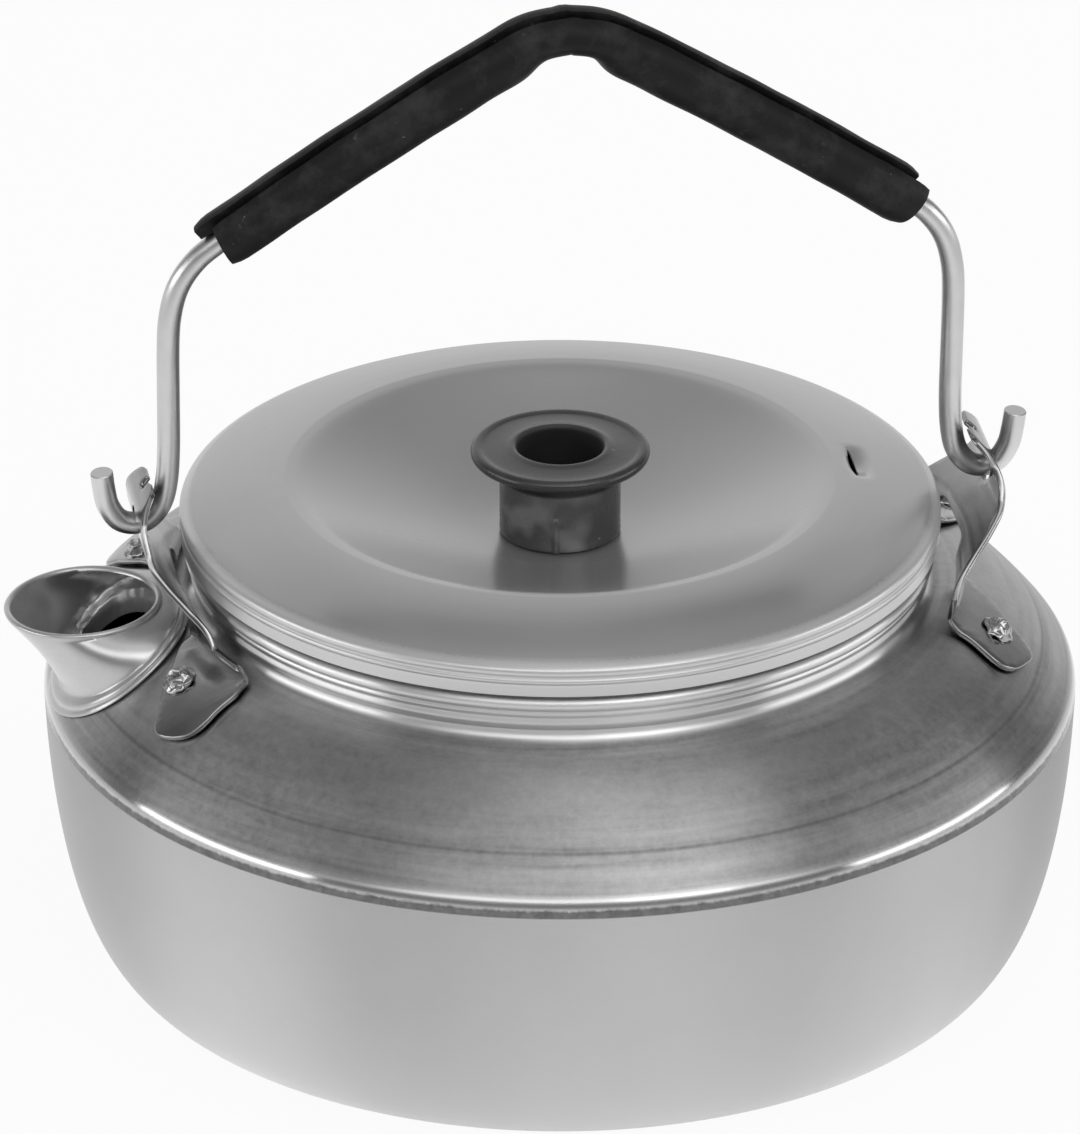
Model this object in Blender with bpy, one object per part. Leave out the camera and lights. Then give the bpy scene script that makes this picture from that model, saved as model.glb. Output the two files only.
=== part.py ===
"""Camping kettle: a low spun aluminium pot with a short flared spout, a lift-off lid and a wire bail.

Metres, +Z up. The origin is on the kettle's turning axis, on the surface it stands on.
The spout points along -X, and the bail swings about a line parallel to X through both ears.
"""

import math

import bmesh
import bpy
from mathutils import Matrix, Vector

# Clearance between pieces that touch
GAP = 0.0003

# Pot
POT_RADIUS = 0.0750
POT_SHEET = 0.0008
FOLD_HEIGHT = 0.0430
BASE_FLAT_RADIUS = 0.0569
FOLD_BEAD_RADIUS = 0.0010
WALL_ROUND_OUT = 0.61
WALL_ROUND_DOWN = 1.19
SHOULDER_IN_RADIUS = 0.0545
SHOULDER_IN_HEIGHT = 0.0578
SHOULDER_CROWN = 0.0030
NECK_RADIUS = 0.0530
NECK_CREASE_HEIGHT = 0.0596
NECK_BEAD_HEIGHT = 0.0642
NECK_CURL_RADIUS = 0.00075

# Lid
LID_SHEET = 0.0008
LID_RADIUS = 0.05505
LID_EDGE_HEIGHT = 0.0704
LID_RIM_FOOT = 0.0656
LID_RIDGE_RADIUS = 0.0384
LID_RIDGE_HEIGHT = 0.0742
LID_DISH_DEPTH = 0.0087
LID_SEAT_RADIUS = 0.0094
LID_SKIRT_DEPTH = 0.0066
LID_HOLE_RADIUS = 0.0024
VENT_RADIUS = 0.0440
VENT_LENGTH = 0.0080
VENT_WIDTH = 0.0012
VENT_TURN = math.radians(5)

# Lid knob and its fastening
KNOB_DISC_RADIUS = 0.01295
KNOB_STEM_RADIUS = 0.0088
KNOB_TOP_HEIGHT = 0.0791
KNOB_DISC_THICKNESS = 0.0018
KNOB_WELL_RADIUS = 0.0061
KNOB_WELL_DEPTH = 0.0095
SCREW_RADIUS = 0.0020
SCREW_HEAD_RADIUS = 0.0036
SCREW_HEAD_HEIGHT = 0.0022
WASHER_RADIUS = 0.0045
WASHER_THICKNESS = 0.0008
NUT_ACROSS_CORNERS = 0.0081
NUT_HEIGHT = 0.0024

# Spout: an oval root on the shoulder and a round mouth above it
SPOUT_ROOT_X = -0.0646
SPOUT_ROOT_LENGTH = 0.0096
SPOUT_ROOT_WIDTH = 0.0152
SPOUT_THROAT_LENGTH = 0.0073
SPOUT_THROAT_WIDTH = 0.0122
SPOUT_MOUTH_X = -0.0697
SPOUT_MOUTH_HEIGHT = 0.0594
SPOUT_MOUTH_RADIUS = 0.0114
SPOUT_MOUTH_TILT = 0.061
SPOUT_WALL = 0.0010
SPOUT_LIP = 0.0008
SPOUT_WAIST = 0.0008

# Ears that carry the bail
EAR_SHEET = 0.0009
EAR_HOLE_RADIUS = 0.0026
EAR_HOLE_RISE = 0.00025
EAR_INSET_SPOUT = 0.0018
EAR_FORM_HALF_WIDTH = 0.0315
EAR_FORM_RADIUS = 0.0710
EAR_REAR_FOOT = ((0.0106, 0.0572), (0.0188, 0.0520))
EAR_SPOUT_FOOT = ((0.0128, 0.0577), (0.0192, 0.0538))

# Rivets through the ears' feet
RIVET_X_REAR = 0.0598
RIVET_X_SPOUT = -0.0580
RIVET_Y = 0.0202
RIVET_HEAD_RADIUS = 0.0024
RIVET_HEAD_HEIGHT = 0.0011
RIVET_SHANK_RADIUS = 0.0013
RIVET_TAIL_RADIUS = 0.0020
RIVET_TAIL_HEIGHT = 0.0009

# Bail
PIVOT_HEIGHT = 0.0712
BAIL_LEAN = math.radians(4)
WIRE_RADIUS = 0.00165
LEG_HALF_SPACING = 0.0570
BAIL_HEIGHT = 0.0747
GRIP_RADIUS = 0.00425
GRIP_SLIT = 0.0007

TURN_STEPS = 42
OVAL_STEPS = 32


def clear_scene():
    for item in list(bpy.data.objects):
        bpy.data.objects.remove(item, do_unlink=True)


def make_material(name, colour, roughness, metallic):
    material = bpy.data.materials.new(name)
    material.use_nodes = True
    shader = material.node_tree.nodes["Principled BSDF"]
    shader.inputs["Base Color"].default_value = (*colour, 1.0)
    shader.inputs["Roughness"].default_value = roughness
    shader.inputs["Metallic"].default_value = metallic
    return material


def add_mesh_object(name, bm, material=None):
    """Turn a bmesh into a smooth-shaded object whose faces point outwards."""
    bmesh.ops.recalc_face_normals(bm, faces=bm.faces)
    mesh = bpy.data.meshes.new(name)
    bm.to_mesh(mesh)
    bm.free()
    mesh.shade_smooth()
    mesh.set_sharp_from_angle(angle=math.radians(35))
    item = bpy.data.objects.new(name, mesh)
    bpy.context.collection.objects.link(item)
    if material:
        mesh.materials.append(material)
    return item


def hide_cutter(item):
    item.hide_render = True
    item.display_type = "WIRE"
    return item


def cut(target, cutter, operation="DIFFERENCE"):
    modifier = target.modifiers.new(cutter.name, "BOOLEAN")
    modifier.operation = operation
    modifier.object = cutter


def arc(centre, radius, start, end, steps):
    """Points on an arc from start to end, in degrees."""
    angles = [math.radians(start + (end - start) * i / steps) for i in range(steps + 1)]
    return [(centre[0] + radius * math.cos(a), centre[1] + radius * math.sin(a)) for a in angles]


def smooth_line(points, steps):
    """A Catmull-Rom curve through the points, with the given steps between each pair."""
    points = [Vector(p) for p in points]
    padded = [2 * points[0] - points[1], *points, 2 * points[-1] - points[-2]]
    line = []
    for a, b, c, d in zip(padded, padded[1:], padded[2:], padded[3:]):
        for i in range(steps):
            t = i / steps
            line.append(0.5 * (2 * b + (c - a) * t + (2 * a - 5 * b + 4 * c - d) * t**2
                               + (3 * b - a - 3 * c + d) * t**3))
    line.append(points[-1])
    return [tuple(p) for p in line]


def offset_line(points, distance):
    """Move each point of an open outline to its left by the distance."""
    moved = []
    for i, point in enumerate(points):
        before = Vector(points[max(i - 1, 0)])
        after = Vector(points[min(i + 1, len(points) - 1)])
        along = (after - before).normalized()
        moved.append((point[0] - along.y * distance, point[1] + along.x * distance))
    return moved


def sheet_loop(middle, thickness):
    """The closed outline of a sheet whose middle line is given."""
    return offset_line(middle, thickness / 2) + offset_line(middle, -thickness / 2)[::-1]


def turned(name, loop, material=None, steps=TURN_STEPS):
    """Turn a closed outline of (radius, height) points about Z into a solid."""
    bm = bmesh.new()
    verts = [bm.verts.new((r, 0, z)) for r, z in loop]
    edges = [bm.edges.new(pair) for pair in zip(verts, verts[1:] + verts[:1])]
    on_axis = [e for e in edges if all(v.co.x < 1e-7 for v in e.verts)]
    bmesh.ops.delete(bm, geom=on_axis, context="EDGES_FACES")
    bmesh.ops.spin(bm, geom=bm.verts[:] + bm.edges[:], cent=(0, 0, 0), axis=(0, 0, 1),
                   angle=2 * math.pi, steps=steps)
    bmesh.ops.remove_doubles(bm, verts=bm.verts, dist=1e-6)
    return add_mesh_object(name, bm, material)


def lofted(name, rings, material=None, close=False):
    """Skin a row of rings; close joins the last to the first, otherwise both ends are capped."""
    bm = bmesh.new()
    rows = [[bm.verts.new(p) for p in ring] for ring in rings]
    pairs = list(zip(rows, rows[1:] + rows[:1])) if close else list(zip(rows, rows[1:]))
    for low, high in pairs:
        for i in range(len(low)):
            j = (i + 1) % len(low)
            bm.faces.new((low[i], low[j], high[j], high[i]))
    if not close:
        bm.faces.new(rows[0])
        bm.faces.new(rows[-1])
    return add_mesh_object(name, bm, material)


def prism(name, outline, origin, right, up, depth):
    """A hidden cutter: the outline in the right-up plane, thick along their cross product."""
    right, up = Vector(right), Vector(up)
    half = right.cross(up).normalized() * (depth / 2)
    centre = [Vector(origin) + right * a + up * b for a, b in outline]
    return hide_cutter(lofted(name, [[p - half for p in centre], [p + half for p in centre]]))


def rounded_outline(corners, steps=4):
    """A closed outline whose corners (x, y, radius) are rounded; radius 0 stays sharp."""
    outline = []
    count = len(corners)
    for i, (x, y, radius) in enumerate(corners):
        here = Vector((x, y))
        to_last = (Vector(corners[i - 1][:2]) - here).normalized()
        to_next = (Vector(corners[(i + 1) % count][:2]) - here).normalized()
        if radius == 0:
            outline.append((x, y))
            continue
        half = to_last.angle(to_next) / 2
        reach = radius / math.tan(half)
        start = here + to_last * reach
        end = here + to_next * reach
        for s in range(steps + 1):
            t = s / steps
            bend = (1 - t) ** 2 * start + 2 * t * (1 - t) * here + t**2 * end
            outline.append(tuple(bend))
    return outline


def shoulder_height(radius):
    """Height of the pot's outer skin on the domed shoulder."""
    share = (radius - SHOULDER_IN_RADIUS) / (POT_RADIUS - SHOULDER_IN_RADIUS)
    straight = SHOULDER_IN_HEIGHT + (FOLD_HEIGHT - SHOULDER_IN_HEIGHT) * share
    return straight + 4 * SHOULDER_CROWN * share * (1 - share)


def shoulder_normal(x, y):
    """The direction square to the shoulder above the point (x, y)."""
    radius = math.hypot(x, y)
    step = 0.0001
    slope = (shoulder_height(radius + step) - shoulder_height(radius - step)) / (2 * step)
    return Vector((-slope * x / radius, -slope * y / radius, 1)).normalized()


def shoulder_point(x, y, lift):
    return Vector((x, y, shoulder_height(math.hypot(x, y)))) + shoulder_normal(x, y) * lift


def pot_skin():
    """The pot's outer skin from the middle of the base up to the neck, as (radius, height)."""
    skin = [(0.0, 0.0), (BASE_FLAT_RADIUS, 0.0)]
    wall_angles = [87, 81, 72, 60, 46, 30, 14]
    for angle in wall_angles:
        a = math.radians(angle)
        radius = BASE_FLAT_RADIUS + (POT_RADIUS - BASE_FLAT_RADIUS) * math.cos(a) ** WALL_ROUND_OUT
        skin.append((radius, FOLD_HEIGHT * (1 - math.sin(a) ** WALL_ROUND_DOWN)))
    fold_centre = (POT_RADIUS - FOLD_BEAD_RADIUS, FOLD_HEIGHT - 0.0008)
    skin += arc(fold_centre, FOLD_BEAD_RADIUS, -15, 60, 2)
    shoulder_out = POT_RADIUS - FOLD_BEAD_RADIUS
    steps = 5
    for i in range(1, steps + 1):
        radius = shoulder_out + (SHOULDER_IN_RADIUS - shoulder_out) * i / steps
        skin.append((radius, shoulder_height(radius)))
    fillet_radius = SHOULDER_IN_RADIUS - NECK_RADIUS
    fillet_centre = (SHOULDER_IN_RADIUS, SHOULDER_IN_HEIGHT + fillet_radius)
    skin += arc(fillet_centre, fillet_radius, 250, 180, 2)
    skin.append((NECK_RADIUS, NECK_CREASE_HEIGHT + 0.0016))
    return skin


def build_pot(material):
    middle = offset_line(pot_skin(), POT_SHEET / 2)
    curl_centre = (NECK_RADIUS - POT_SHEET / 2 + NECK_CURL_RADIUS, NECK_BEAD_HEIGHT)
    middle += arc(curl_centre, NECK_CURL_RADIUS, 180, -40, 5)
    pot = turned("pot_body", sheet_loop(middle, POT_SHEET), material)
    throat = [(SPOUT_ROOT_X + x, y) for x, y in spout_oval(GAP)]
    cut(pot, prism("spout_hole_cutter", throat, (0, 0, 0.052), (1, 0, 0), (0, 1, 0), 0.018))
    return pot


def lid_dish_height(radius):
    """Height of the lid's upper skin inside its ridge: a shallow bowl with a flat seat for the knob."""
    floor = LID_RIDGE_HEIGHT - LID_DISH_DEPTH
    share = max(0.0, radius - LID_SEAT_RADIUS) / (LID_RIDGE_RADIUS - LID_SEAT_RADIUS)
    return floor + LID_DISH_DEPTH * share ** 1.5


def build_lid(material):
    half = LID_SHEET / 2
    dish = [LID_HOLE_RADIUS, LID_SEAT_RADIUS, 0.0160, 0.0230, 0.0300, 0.0358]
    skin = [(r, lid_dish_height(r)) for r in dish]
    skin += [(LID_RIDGE_RADIUS, 0.07400), (0.0402, LID_RIDGE_HEIGHT), (0.0430, 0.07380),
             (0.0485, 0.07250), (0.0533, 0.07100)]
    middle = offset_line(skin, -half)
    rim = LID_RADIUS - half
    middle += arc((rim - 0.0010, LID_EDGE_HEIGHT - 0.0013), 0.0010, 60, 0, 2)
    middle += arc((rim - 0.0009, LID_RIM_FOOT + half + 0.0009), 0.0009, 0, -90, 2)
    skirt = NECK_RADIUS - POT_SHEET - GAP - half
    middle += arc((skirt + 0.0008, LID_RIM_FOOT + half - 0.0008), 0.0008, 90, 180, 2)
    middle.append((skirt, LID_RIM_FOOT - LID_SKIRT_DEPTH))
    lid = turned("lid", sheet_loop(middle, LID_SHEET), material)
    slot = rounded_outline([(a * VENT_WIDTH / 2, b * VENT_LENGTH / 2, 0.0005)
                            for a, b in ((-1, -1), (1, -1), (1, 1), (-1, 1))], 2)
    across = (math.cos(VENT_TURN), math.sin(VENT_TURN), 0)
    around = (-math.sin(VENT_TURN), math.cos(VENT_TURN), 0)
    place = Vector(across) * VENT_RADIUS + Vector((0, 0, LID_RIDGE_HEIGHT))
    cut(lid, prism("vent_cutter", slot, place, across, around, 0.006))
    return lid


def build_knob(material):
    foot = lid_dish_height(0) + GAP
    top = KNOB_TOP_HEIGHT
    under = top - KNOB_DISC_THICKNESS
    floor = top - KNOB_WELL_DEPTH
    hole = SCREW_RADIUS + GAP
    edge = KNOB_DISC_THICKNESS / 2
    loop = [(hole, foot), (KNOB_STEM_RADIUS - 0.0003, foot), (KNOB_STEM_RADIUS, foot + 0.0003)]
    loop += [(KNOB_STEM_RADIUS, under - 0.0006), (KNOB_STEM_RADIUS + 0.0006, under)]
    loop += arc((KNOB_DISC_RADIUS - edge, top - edge), edge, -90, 90, 4)
    loop += arc((KNOB_WELL_RADIUS + 0.0008, top - 0.0008), 0.0008, 90, 180, 3)
    loop += [(KNOB_WELL_RADIUS, floor), (hole, floor)]
    return turned("lid_knob", loop, material, 30)


def build_knob_fastening(material):
    """A screw in the knob's well, with a washer and a nut under the lid."""
    seat = KNOB_TOP_HEIGHT - KNOB_WELL_DEPTH + GAP
    head_top = seat + SCREW_HEAD_HEIGHT
    washer_top = lid_dish_height(0) - LID_SHEET - GAP
    nut_top = washer_top - WASHER_THICKNESS - GAP
    screw_foot = nut_top - NUT_HEIGHT - 0.0006
    head = [(0, head_top), (0, screw_foot), (SCREW_RADIUS, screw_foot), (SCREW_RADIUS, seat)]
    head += [(SCREW_HEAD_RADIUS, seat)]
    head += arc((SCREW_HEAD_RADIUS - 0.0012, head_top - 0.0012), 0.0012, 0, 90, 4)
    turned("knob_screw", head, material, 24)
    hole = SCREW_RADIUS + GAP
    washer = [(hole, washer_top), (WASHER_RADIUS, washer_top),
              (WASHER_RADIUS, washer_top - WASHER_THICKNESS), (hole, washer_top - WASHER_THICKNESS)]
    turned("knob_washer", washer, material, 24)
    hexagon = [(NUT_ACROSS_CORNERS / 2 * math.cos(i * math.pi / 3),
                NUT_ACROSS_CORNERS / 2 * math.sin(i * math.pi / 3)) for i in range(6)]
    rings = [[(x, y, z) for x, y in hexagon] for z in (nut_top - NUT_HEIGHT, nut_top)]
    nut = lofted("knob_nut", rings, material)
    bore = arc((0, 0), hole, 0, 360 - 15, 23)
    cut(nut, prism("nut_bore_cutter", bore, (0, 0, nut_top), (1, 0, 0), (0, 1, 0), 0.02))


def spout_oval(grow, steps=OVAL_STEPS, length=SPOUT_THROAT_LENGTH, width=SPOUT_THROAT_WIDTH):
    """An oval around the spout's root, grown outwards, as (x, y) about its middle."""
    turns = [2 * math.pi * i / steps for i in range(steps)]
    return [((length + grow) * math.cos(a), (width + grow) * math.sin(a)) for a in turns]


def spout_ring(grow, lift, at_throat=False):
    """A ring that follows the shoulder, grown outwards and lifted off the pot's skin."""
    length = SPOUT_THROAT_LENGTH if at_throat else SPOUT_ROOT_LENGTH
    width = SPOUT_THROAT_WIDTH if at_throat else SPOUT_ROOT_WIDTH
    ring = []
    for x, y in spout_oval(grow, length=length, width=width):
        height = shoulder_height(math.hypot(SPOUT_ROOT_X + x, y)) + lift
        ring.append(Vector((SPOUT_ROOT_X + x, y, height)))
    return ring


def mouth_ring(radius, drop):
    ring = []
    for x, y in spout_oval(0, length=radius, width=radius):
        height = SPOUT_MOUTH_HEIGHT + x * SPOUT_MOUTH_TILT - drop
        ring.append(Vector((SPOUT_MOUTH_X + x, y, height)))
    return ring


def spout_wall(root, mouth, share):
    """A ring between root and mouth, drawn in a little on the side that faces outwards."""
    ring = []
    for low, high in zip(root, mouth):
        point = low.lerp(high, share)
        outward = max(0.0, (SPOUT_ROOT_X - low.x) / SPOUT_ROOT_LENGTH)
        point.x += SPOUT_WAIST * outward * math.sin(math.pi * share)
        ring.append(point)
    return ring


def build_spout(material):
    rim = SPOUT_WALL * 0.4
    outer_mouth = mouth_ring(SPOUT_MOUTH_RADIUS, rim)
    inner_mouth = mouth_ring(SPOUT_MOUTH_RADIUS - SPOUT_WALL, rim)
    outer_root = spout_ring(-0.0006, 0.0017)
    inner_root = spout_ring(-0.0006 - SPOUT_WALL, 0.0017)
    below_shell = -POT_SHEET * 2 - 2 * GAP
    bore = -SPOUT_WALL
    rings = [mouth_ring(SPOUT_MOUTH_RADIUS - SPOUT_WALL / 2, 0), outer_mouth]
    rings += [spout_wall(outer_root, outer_mouth, s) for s in (0.75, 0.5, 0.25, 0)]
    rings += [spout_ring(0.0001, 0.0014), spout_ring(0.0003, 0.0009), spout_ring(0.0001, GAP)]
    rings += [spout_ring(0, GAP, True), spout_ring(0, below_shell, True)]
    rings += [spout_ring(SPOUT_LIP, below_shell, True), spout_ring(SPOUT_LIP, below_shell - 0.0008, True)]
    rings += [spout_ring(bore, below_shell - 0.0008, True), spout_ring(bore, 0.0011, True)]
    rings += [spout_ring(-0.0010 - SPOUT_WALL, 0.0011)]
    rings += [spout_wall(inner_root, inner_mouth, s) for s in (0, 0.25, 0.5, 0.75, 1)]
    return lofted("spout", rings, material, close=True)


def ear_midline(inset):
    """Middle line of the formed ear sheet at y = 0: (x, height, share that follows the pot's round).

    It runs along the shoulder, bends up beside the neck, bows outwards and leans back in.
    """
    lift = GAP + EAR_SHEET / 2
    foot = []
    for radius in (EAR_FORM_RADIUS, 0.0680, 0.0650, 0.0620, 0.0600 - inset):
        point = shoulder_point(radius, 0, lift)
        foot.append((point.x, point.z, 1.0))
    upright = [(0.0582, 0.0582, 1.0), (0.0577, 0.0597, 1.0), (0.0578, 0.0618, 0.7),
               (0.0588, 0.0640, 0.3), (0.0609, 0.0668, 0.0), (0.0626, 0.0690, 0.0),
               (0.0632, 0.0714, 0.0), (0.0628, 0.0737, 0.0), (0.0616, 0.0758, 0.0),
               (0.0599, 0.0776, 0.0), (0.0593, 0.0784, 0.0)]
    bow, tip = 0.0714, 0.0776
    shifted = []
    for x, z, follow in upright:
        fade = min(1.0, max(0.0, (tip - z) / (tip - bow)))
        shifted.append((x - inset * fade, z, follow))
    return foot + shifted


def ear_outline(foot_back):
    """The ear seen along X: a rounded tip with a notch, two legs, and a foot at the end of each."""
    back_inner, back_outer = foot_back
    half = [(0.0021, 0.0758, 0.0006), (0.0021, 0.0778, 0.0004), (0.0040, 0.0778, 0.0016),
            (0.0064, 0.0755, 0.0030), (0.0104, 0.0706, 0.0060), (0.0162, 0.0636, 0.0080),
            (0.0198, 0.0590, 0.0006), (0.0236, 0.0577, 0.0008), (0.0288, 0.0508, 0.0026),
            (0.0224, 0.0494, 0.0034), (*back_outer, 0.0020), (*back_inner, 0.0008),
            (0.0094, 0.0588, 0.0010), (0.0080, 0.0632, 0.0034)]
    mirrored = [(-y, z, r) for y, z, r in reversed(half)]
    return rounded_outline(half + mirrored)


def ear_form(name, inset, side, material):
    """A bent strip of sheet, wide enough to stamp the whole ear out of."""
    middle = ear_midline(inset)
    columns = 10
    widths = [EAR_FORM_HALF_WIDTH * (2 * i / columns - 1) for i in range(columns + 1)]

    def surface(row, y):
        x, z, follow = middle[row]
        rounded = math.sqrt(max(x * x - y * y, 0.0))
        return Vector((x + (rounded - x) * follow, y, z))

    front, back = [], []
    last = len(middle) - 1
    for row in range(len(middle)):
        for y in widths:
            along = surface(min(row + 1, last), y) - surface(max(row - 1, 0), y)
            across = surface(row, y + 0.0001) - surface(row, y - 0.0001)
            square = along.cross(across).normalized() * (EAR_SHEET / 2)
            front.append(surface(row, y) + square)
            back.append(surface(row, y) - square)
    bm = bmesh.new()
    stride = columns + 1
    skins = [[bm.verts.new((side * p.x, p.y, p.z)) for p in skin] for skin in (front, back)]
    for skin in skins:
        for row in range(last):
            for i in range(columns):
                a = row * stride + i
                bm.faces.new((skin[a], skin[a + 1], skin[a + stride + 1], skin[a + stride]))
    rim_edges = [e for e in bm.edges if e.is_boundary]
    bmesh.ops.bridge_loops(bm, edges=rim_edges)
    return add_mesh_object(name, bm, material)


def build_ear(name, side, inset, foot_back, material):
    ear = ear_form(name, inset, side, material)
    outline = ear_outline(foot_back)
    middle_x = side * 0.0600
    cut(ear, prism(name + "_outline", outline, (middle_x, 0, 0), (0, 1, 0), (0, 0, 1), 0.044), "INTERSECT")
    hole = arc((0, PIVOT_HEIGHT + EAR_HOLE_RISE), EAR_HOLE_RADIUS, 0, 360 - 15, 23)
    cut(ear, prism(name + "_hole", hole, (middle_x, 0, 0), (0, 1, 0), (0, 0, 1), 0.020))
    return ear


def build_rivet(name, x, y, material):
    """A round-headed rivet, square to the shoulder, with its tail inside the pot."""
    under_head = GAP + EAR_SHEET + GAP
    tail_top = -POT_SHEET - 2 * GAP
    tail_foot = tail_top - RIVET_TAIL_HEIGHT
    loop = [(0, under_head + RIVET_HEAD_HEIGHT), (0, tail_foot), (RIVET_TAIL_RADIUS, tail_foot)]
    loop += [(RIVET_TAIL_RADIUS, tail_top), (RIVET_SHANK_RADIUS, tail_top)]
    loop += [(RIVET_SHANK_RADIUS, under_head), (RIVET_HEAD_RADIUS, under_head)]
    loop += [(RIVET_HEAD_RADIUS * 0.92, under_head + RIVET_HEAD_HEIGHT * 0.55)]
    loop += [(RIVET_HEAD_RADIUS * 0.60, under_head + RIVET_HEAD_HEIGHT * 0.92)]
    rivet = turned(name, loop, material, 16)
    turn = Vector((0, 0, 1)).rotation_difference(shoulder_normal(x, y))
    rivet.matrix_world = Matrix.Translation(shoulder_point(x, y, 0)) @ turn.to_matrix().to_4x4()
    return rivet


def rivet_hole_cutter(name, x, y):
    normal = shoulder_normal(x, y)
    right = normal.cross(Vector((0, 0, 1))).normalized()
    up = normal.cross(right)
    circle = arc((0, 0), RIVET_SHANK_RADIUS + GAP, 0, 360 - 18, 19)
    return prism(name, circle, shoulder_point(x, y, 0), right, up, 0.006)


def bail_route():
    """Right half of the bail's centre line, (x, height over the pivot), from the hook to the crown."""
    leg = LEG_HALF_SPACING
    hook = [(0.0667, 0.0086), (0.0664, 0.0060), (0.0658, 0.0032), (0.0643, 0.0008), (0.0620, 0.0),
            (0.0598, 0.0008), (0.0581, 0.0032), (leg + 0.0003, 0.0068), (leg, 0.0120)]
    straight = [(leg, 0.0200), (leg, 0.0285), (0.0567, 0.0335), (0.0556, 0.0380), (0.0534, 0.0417)]
    arm = [(0.0500, 0.0448), (0.0404, 0.0515), (0.0288, 0.0592), (0.0173, 0.0666), (0.0090, 0.0716),
           (0.0045, 0.0739), (0.0, BAIL_HEIGHT)]
    return hook, straight, arm


def lean(x, rise):
    """A point of the bail in its own axes, tipped towards -Y as it rests."""
    return Vector((x, -rise * math.sin(BAIL_LEAN), rise * math.cos(BAIL_LEAN)))


def build_bail(material):
    hook, straight, arm = bail_route()
    right = smooth_line(hook + straight + arm, 2)
    line = right + [(-x, z) for x, z in reversed(right[:-1])]
    curve = bpy.data.curves.new("bail_wire", "CURVE")
    curve.dimensions = "3D"
    curve.bevel_depth = WIRE_RADIUS
    curve.bevel_resolution = 2
    curve.use_fill_caps = True
    curve.twist_mode = "Z_UP"
    spline = curve.splines.new("POLY")
    spline.points.add(len(line) - 1)
    for point, (x, z) in zip(spline.points, line):
        point.co = (*lean(x, z), 1)
    curve.materials.append(material)
    wire = bpy.data.objects.new("bail_wire", curve)
    bpy.context.collection.objects.link(wire)
    wire.location = (0, 0, PIVOT_HEIGHT)
    return wire


def build_grip(material):
    """A thick rubber tube over the upper part of the wire, slit along its length at the rear."""
    arm = bail_route()[2]
    right = smooth_line(arm, 2)
    line = right + [(-x, z) for x, z in reversed(right[:-1])]
    inner = WIRE_RADIUS + GAP
    half_slit = math.degrees(GRIP_SLIT / (inner + GRIP_RADIUS))
    outer_arc = arc((0, 0), GRIP_RADIUS, 90 + half_slit, 450 - half_slit, 11)
    inner_arc = arc((0, 0), inner, 450 - 2 * half_slit, 90 + 2 * half_slit, 9)
    section = outer_arc + inner_arc
    rings = []
    for i, (x, z) in enumerate(line):
        before = Vector(line[max(i - 1, 0)])
        after = Vector(line[min(i + 1, len(line) - 1)])
        along = (after - before).normalized()
        across = Vector((-along.y, along.x))
        ring = []
        for out, aside in section:
            point = lean(x + across.x * out, z + across.y * out)
            ring.append(point + lean_side() * aside)
        rings.append(ring)
    grip = lofted("grip_sleeve", rings, material)
    grip.location = (0, 0, PIVOT_HEIGHT)
    return grip


def lean_side():
    """The direction square to the bail's plane, towards +Y."""
    return Vector((0, math.cos(BAIL_LEAN), math.sin(BAIL_LEAN)))


def build():
    clear_scene()
    pot_metal = make_material("pot_aluminium", (0.36, 0.36, 0.36), 0.42, 1.0)
    spout_metal = make_material("spout_aluminium", (0.36, 0.36, 0.36), 0.36, 1.0)
    lid_metal = make_material("lid_aluminium", (0.38, 0.38, 0.38), 0.38, 1.0)
    knob_plastic = make_material("knob_plastic", (0.02, 0.02, 0.02), 0.25, 0.0)
    fastener_steel = make_material("fastener_steel", (0.60, 0.60, 0.60), 0.30, 1.0)
    ear_steel = make_material("ear_steel", (0.58, 0.58, 0.58), 0.22, 1.0)
    rivet_metal = make_material("rivet_aluminium", (0.62, 0.62, 0.62), 0.30, 1.0)
    wire_steel = make_material("wire_steel", (0.62, 0.62, 0.62), 0.18, 1.0)
    grip_rubber = make_material("grip_rubber", (0.015, 0.015, 0.015), 0.60, 0.0)

    pot = build_pot(pot_metal)
    build_spout(spout_metal)
    build_lid(lid_metal)
    build_knob(knob_plastic)
    build_knob_fastening(fastener_steel)
    rear_ear = build_ear("ear_rear", 1, 0.0, EAR_REAR_FOOT, ear_steel)
    spout_ear = build_ear("ear_spout", -1, EAR_INSET_SPOUT, EAR_SPOUT_FOOT, ear_steel)
    for ear, ear_name, x in ((rear_ear, "rear", RIVET_X_REAR), (spout_ear, "spout", RIVET_X_SPOUT)):
        for place, side in (("front", -1), ("back", 1)):
            name = f"rivet_{ear_name}_{place}"
            build_rivet(name, x, side * RIVET_Y, rivet_metal)
            cutter = rivet_hole_cutter(name + "_cutter", x, side * RIVET_Y)
            cut(ear, cutter)
            cut(pot, cutter)
    build_bail(wire_steel)
    build_grip(grip_rubber)


build()
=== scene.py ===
"""Looks of the camping kettle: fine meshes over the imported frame, procedural materials, studio and camera.

Lengths are in millimetres and are scaled to metres where a mesh is made. The axes are the frame's:
+Z is up along the pot's turning axis, the spout points along -X, and the photographer stands at -Y.
"""
import math

import bmesh
import bpy
from mathutils import Matrix, Vector, noise
from mathutils.geometry import delaunay_2d_cdt


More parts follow.
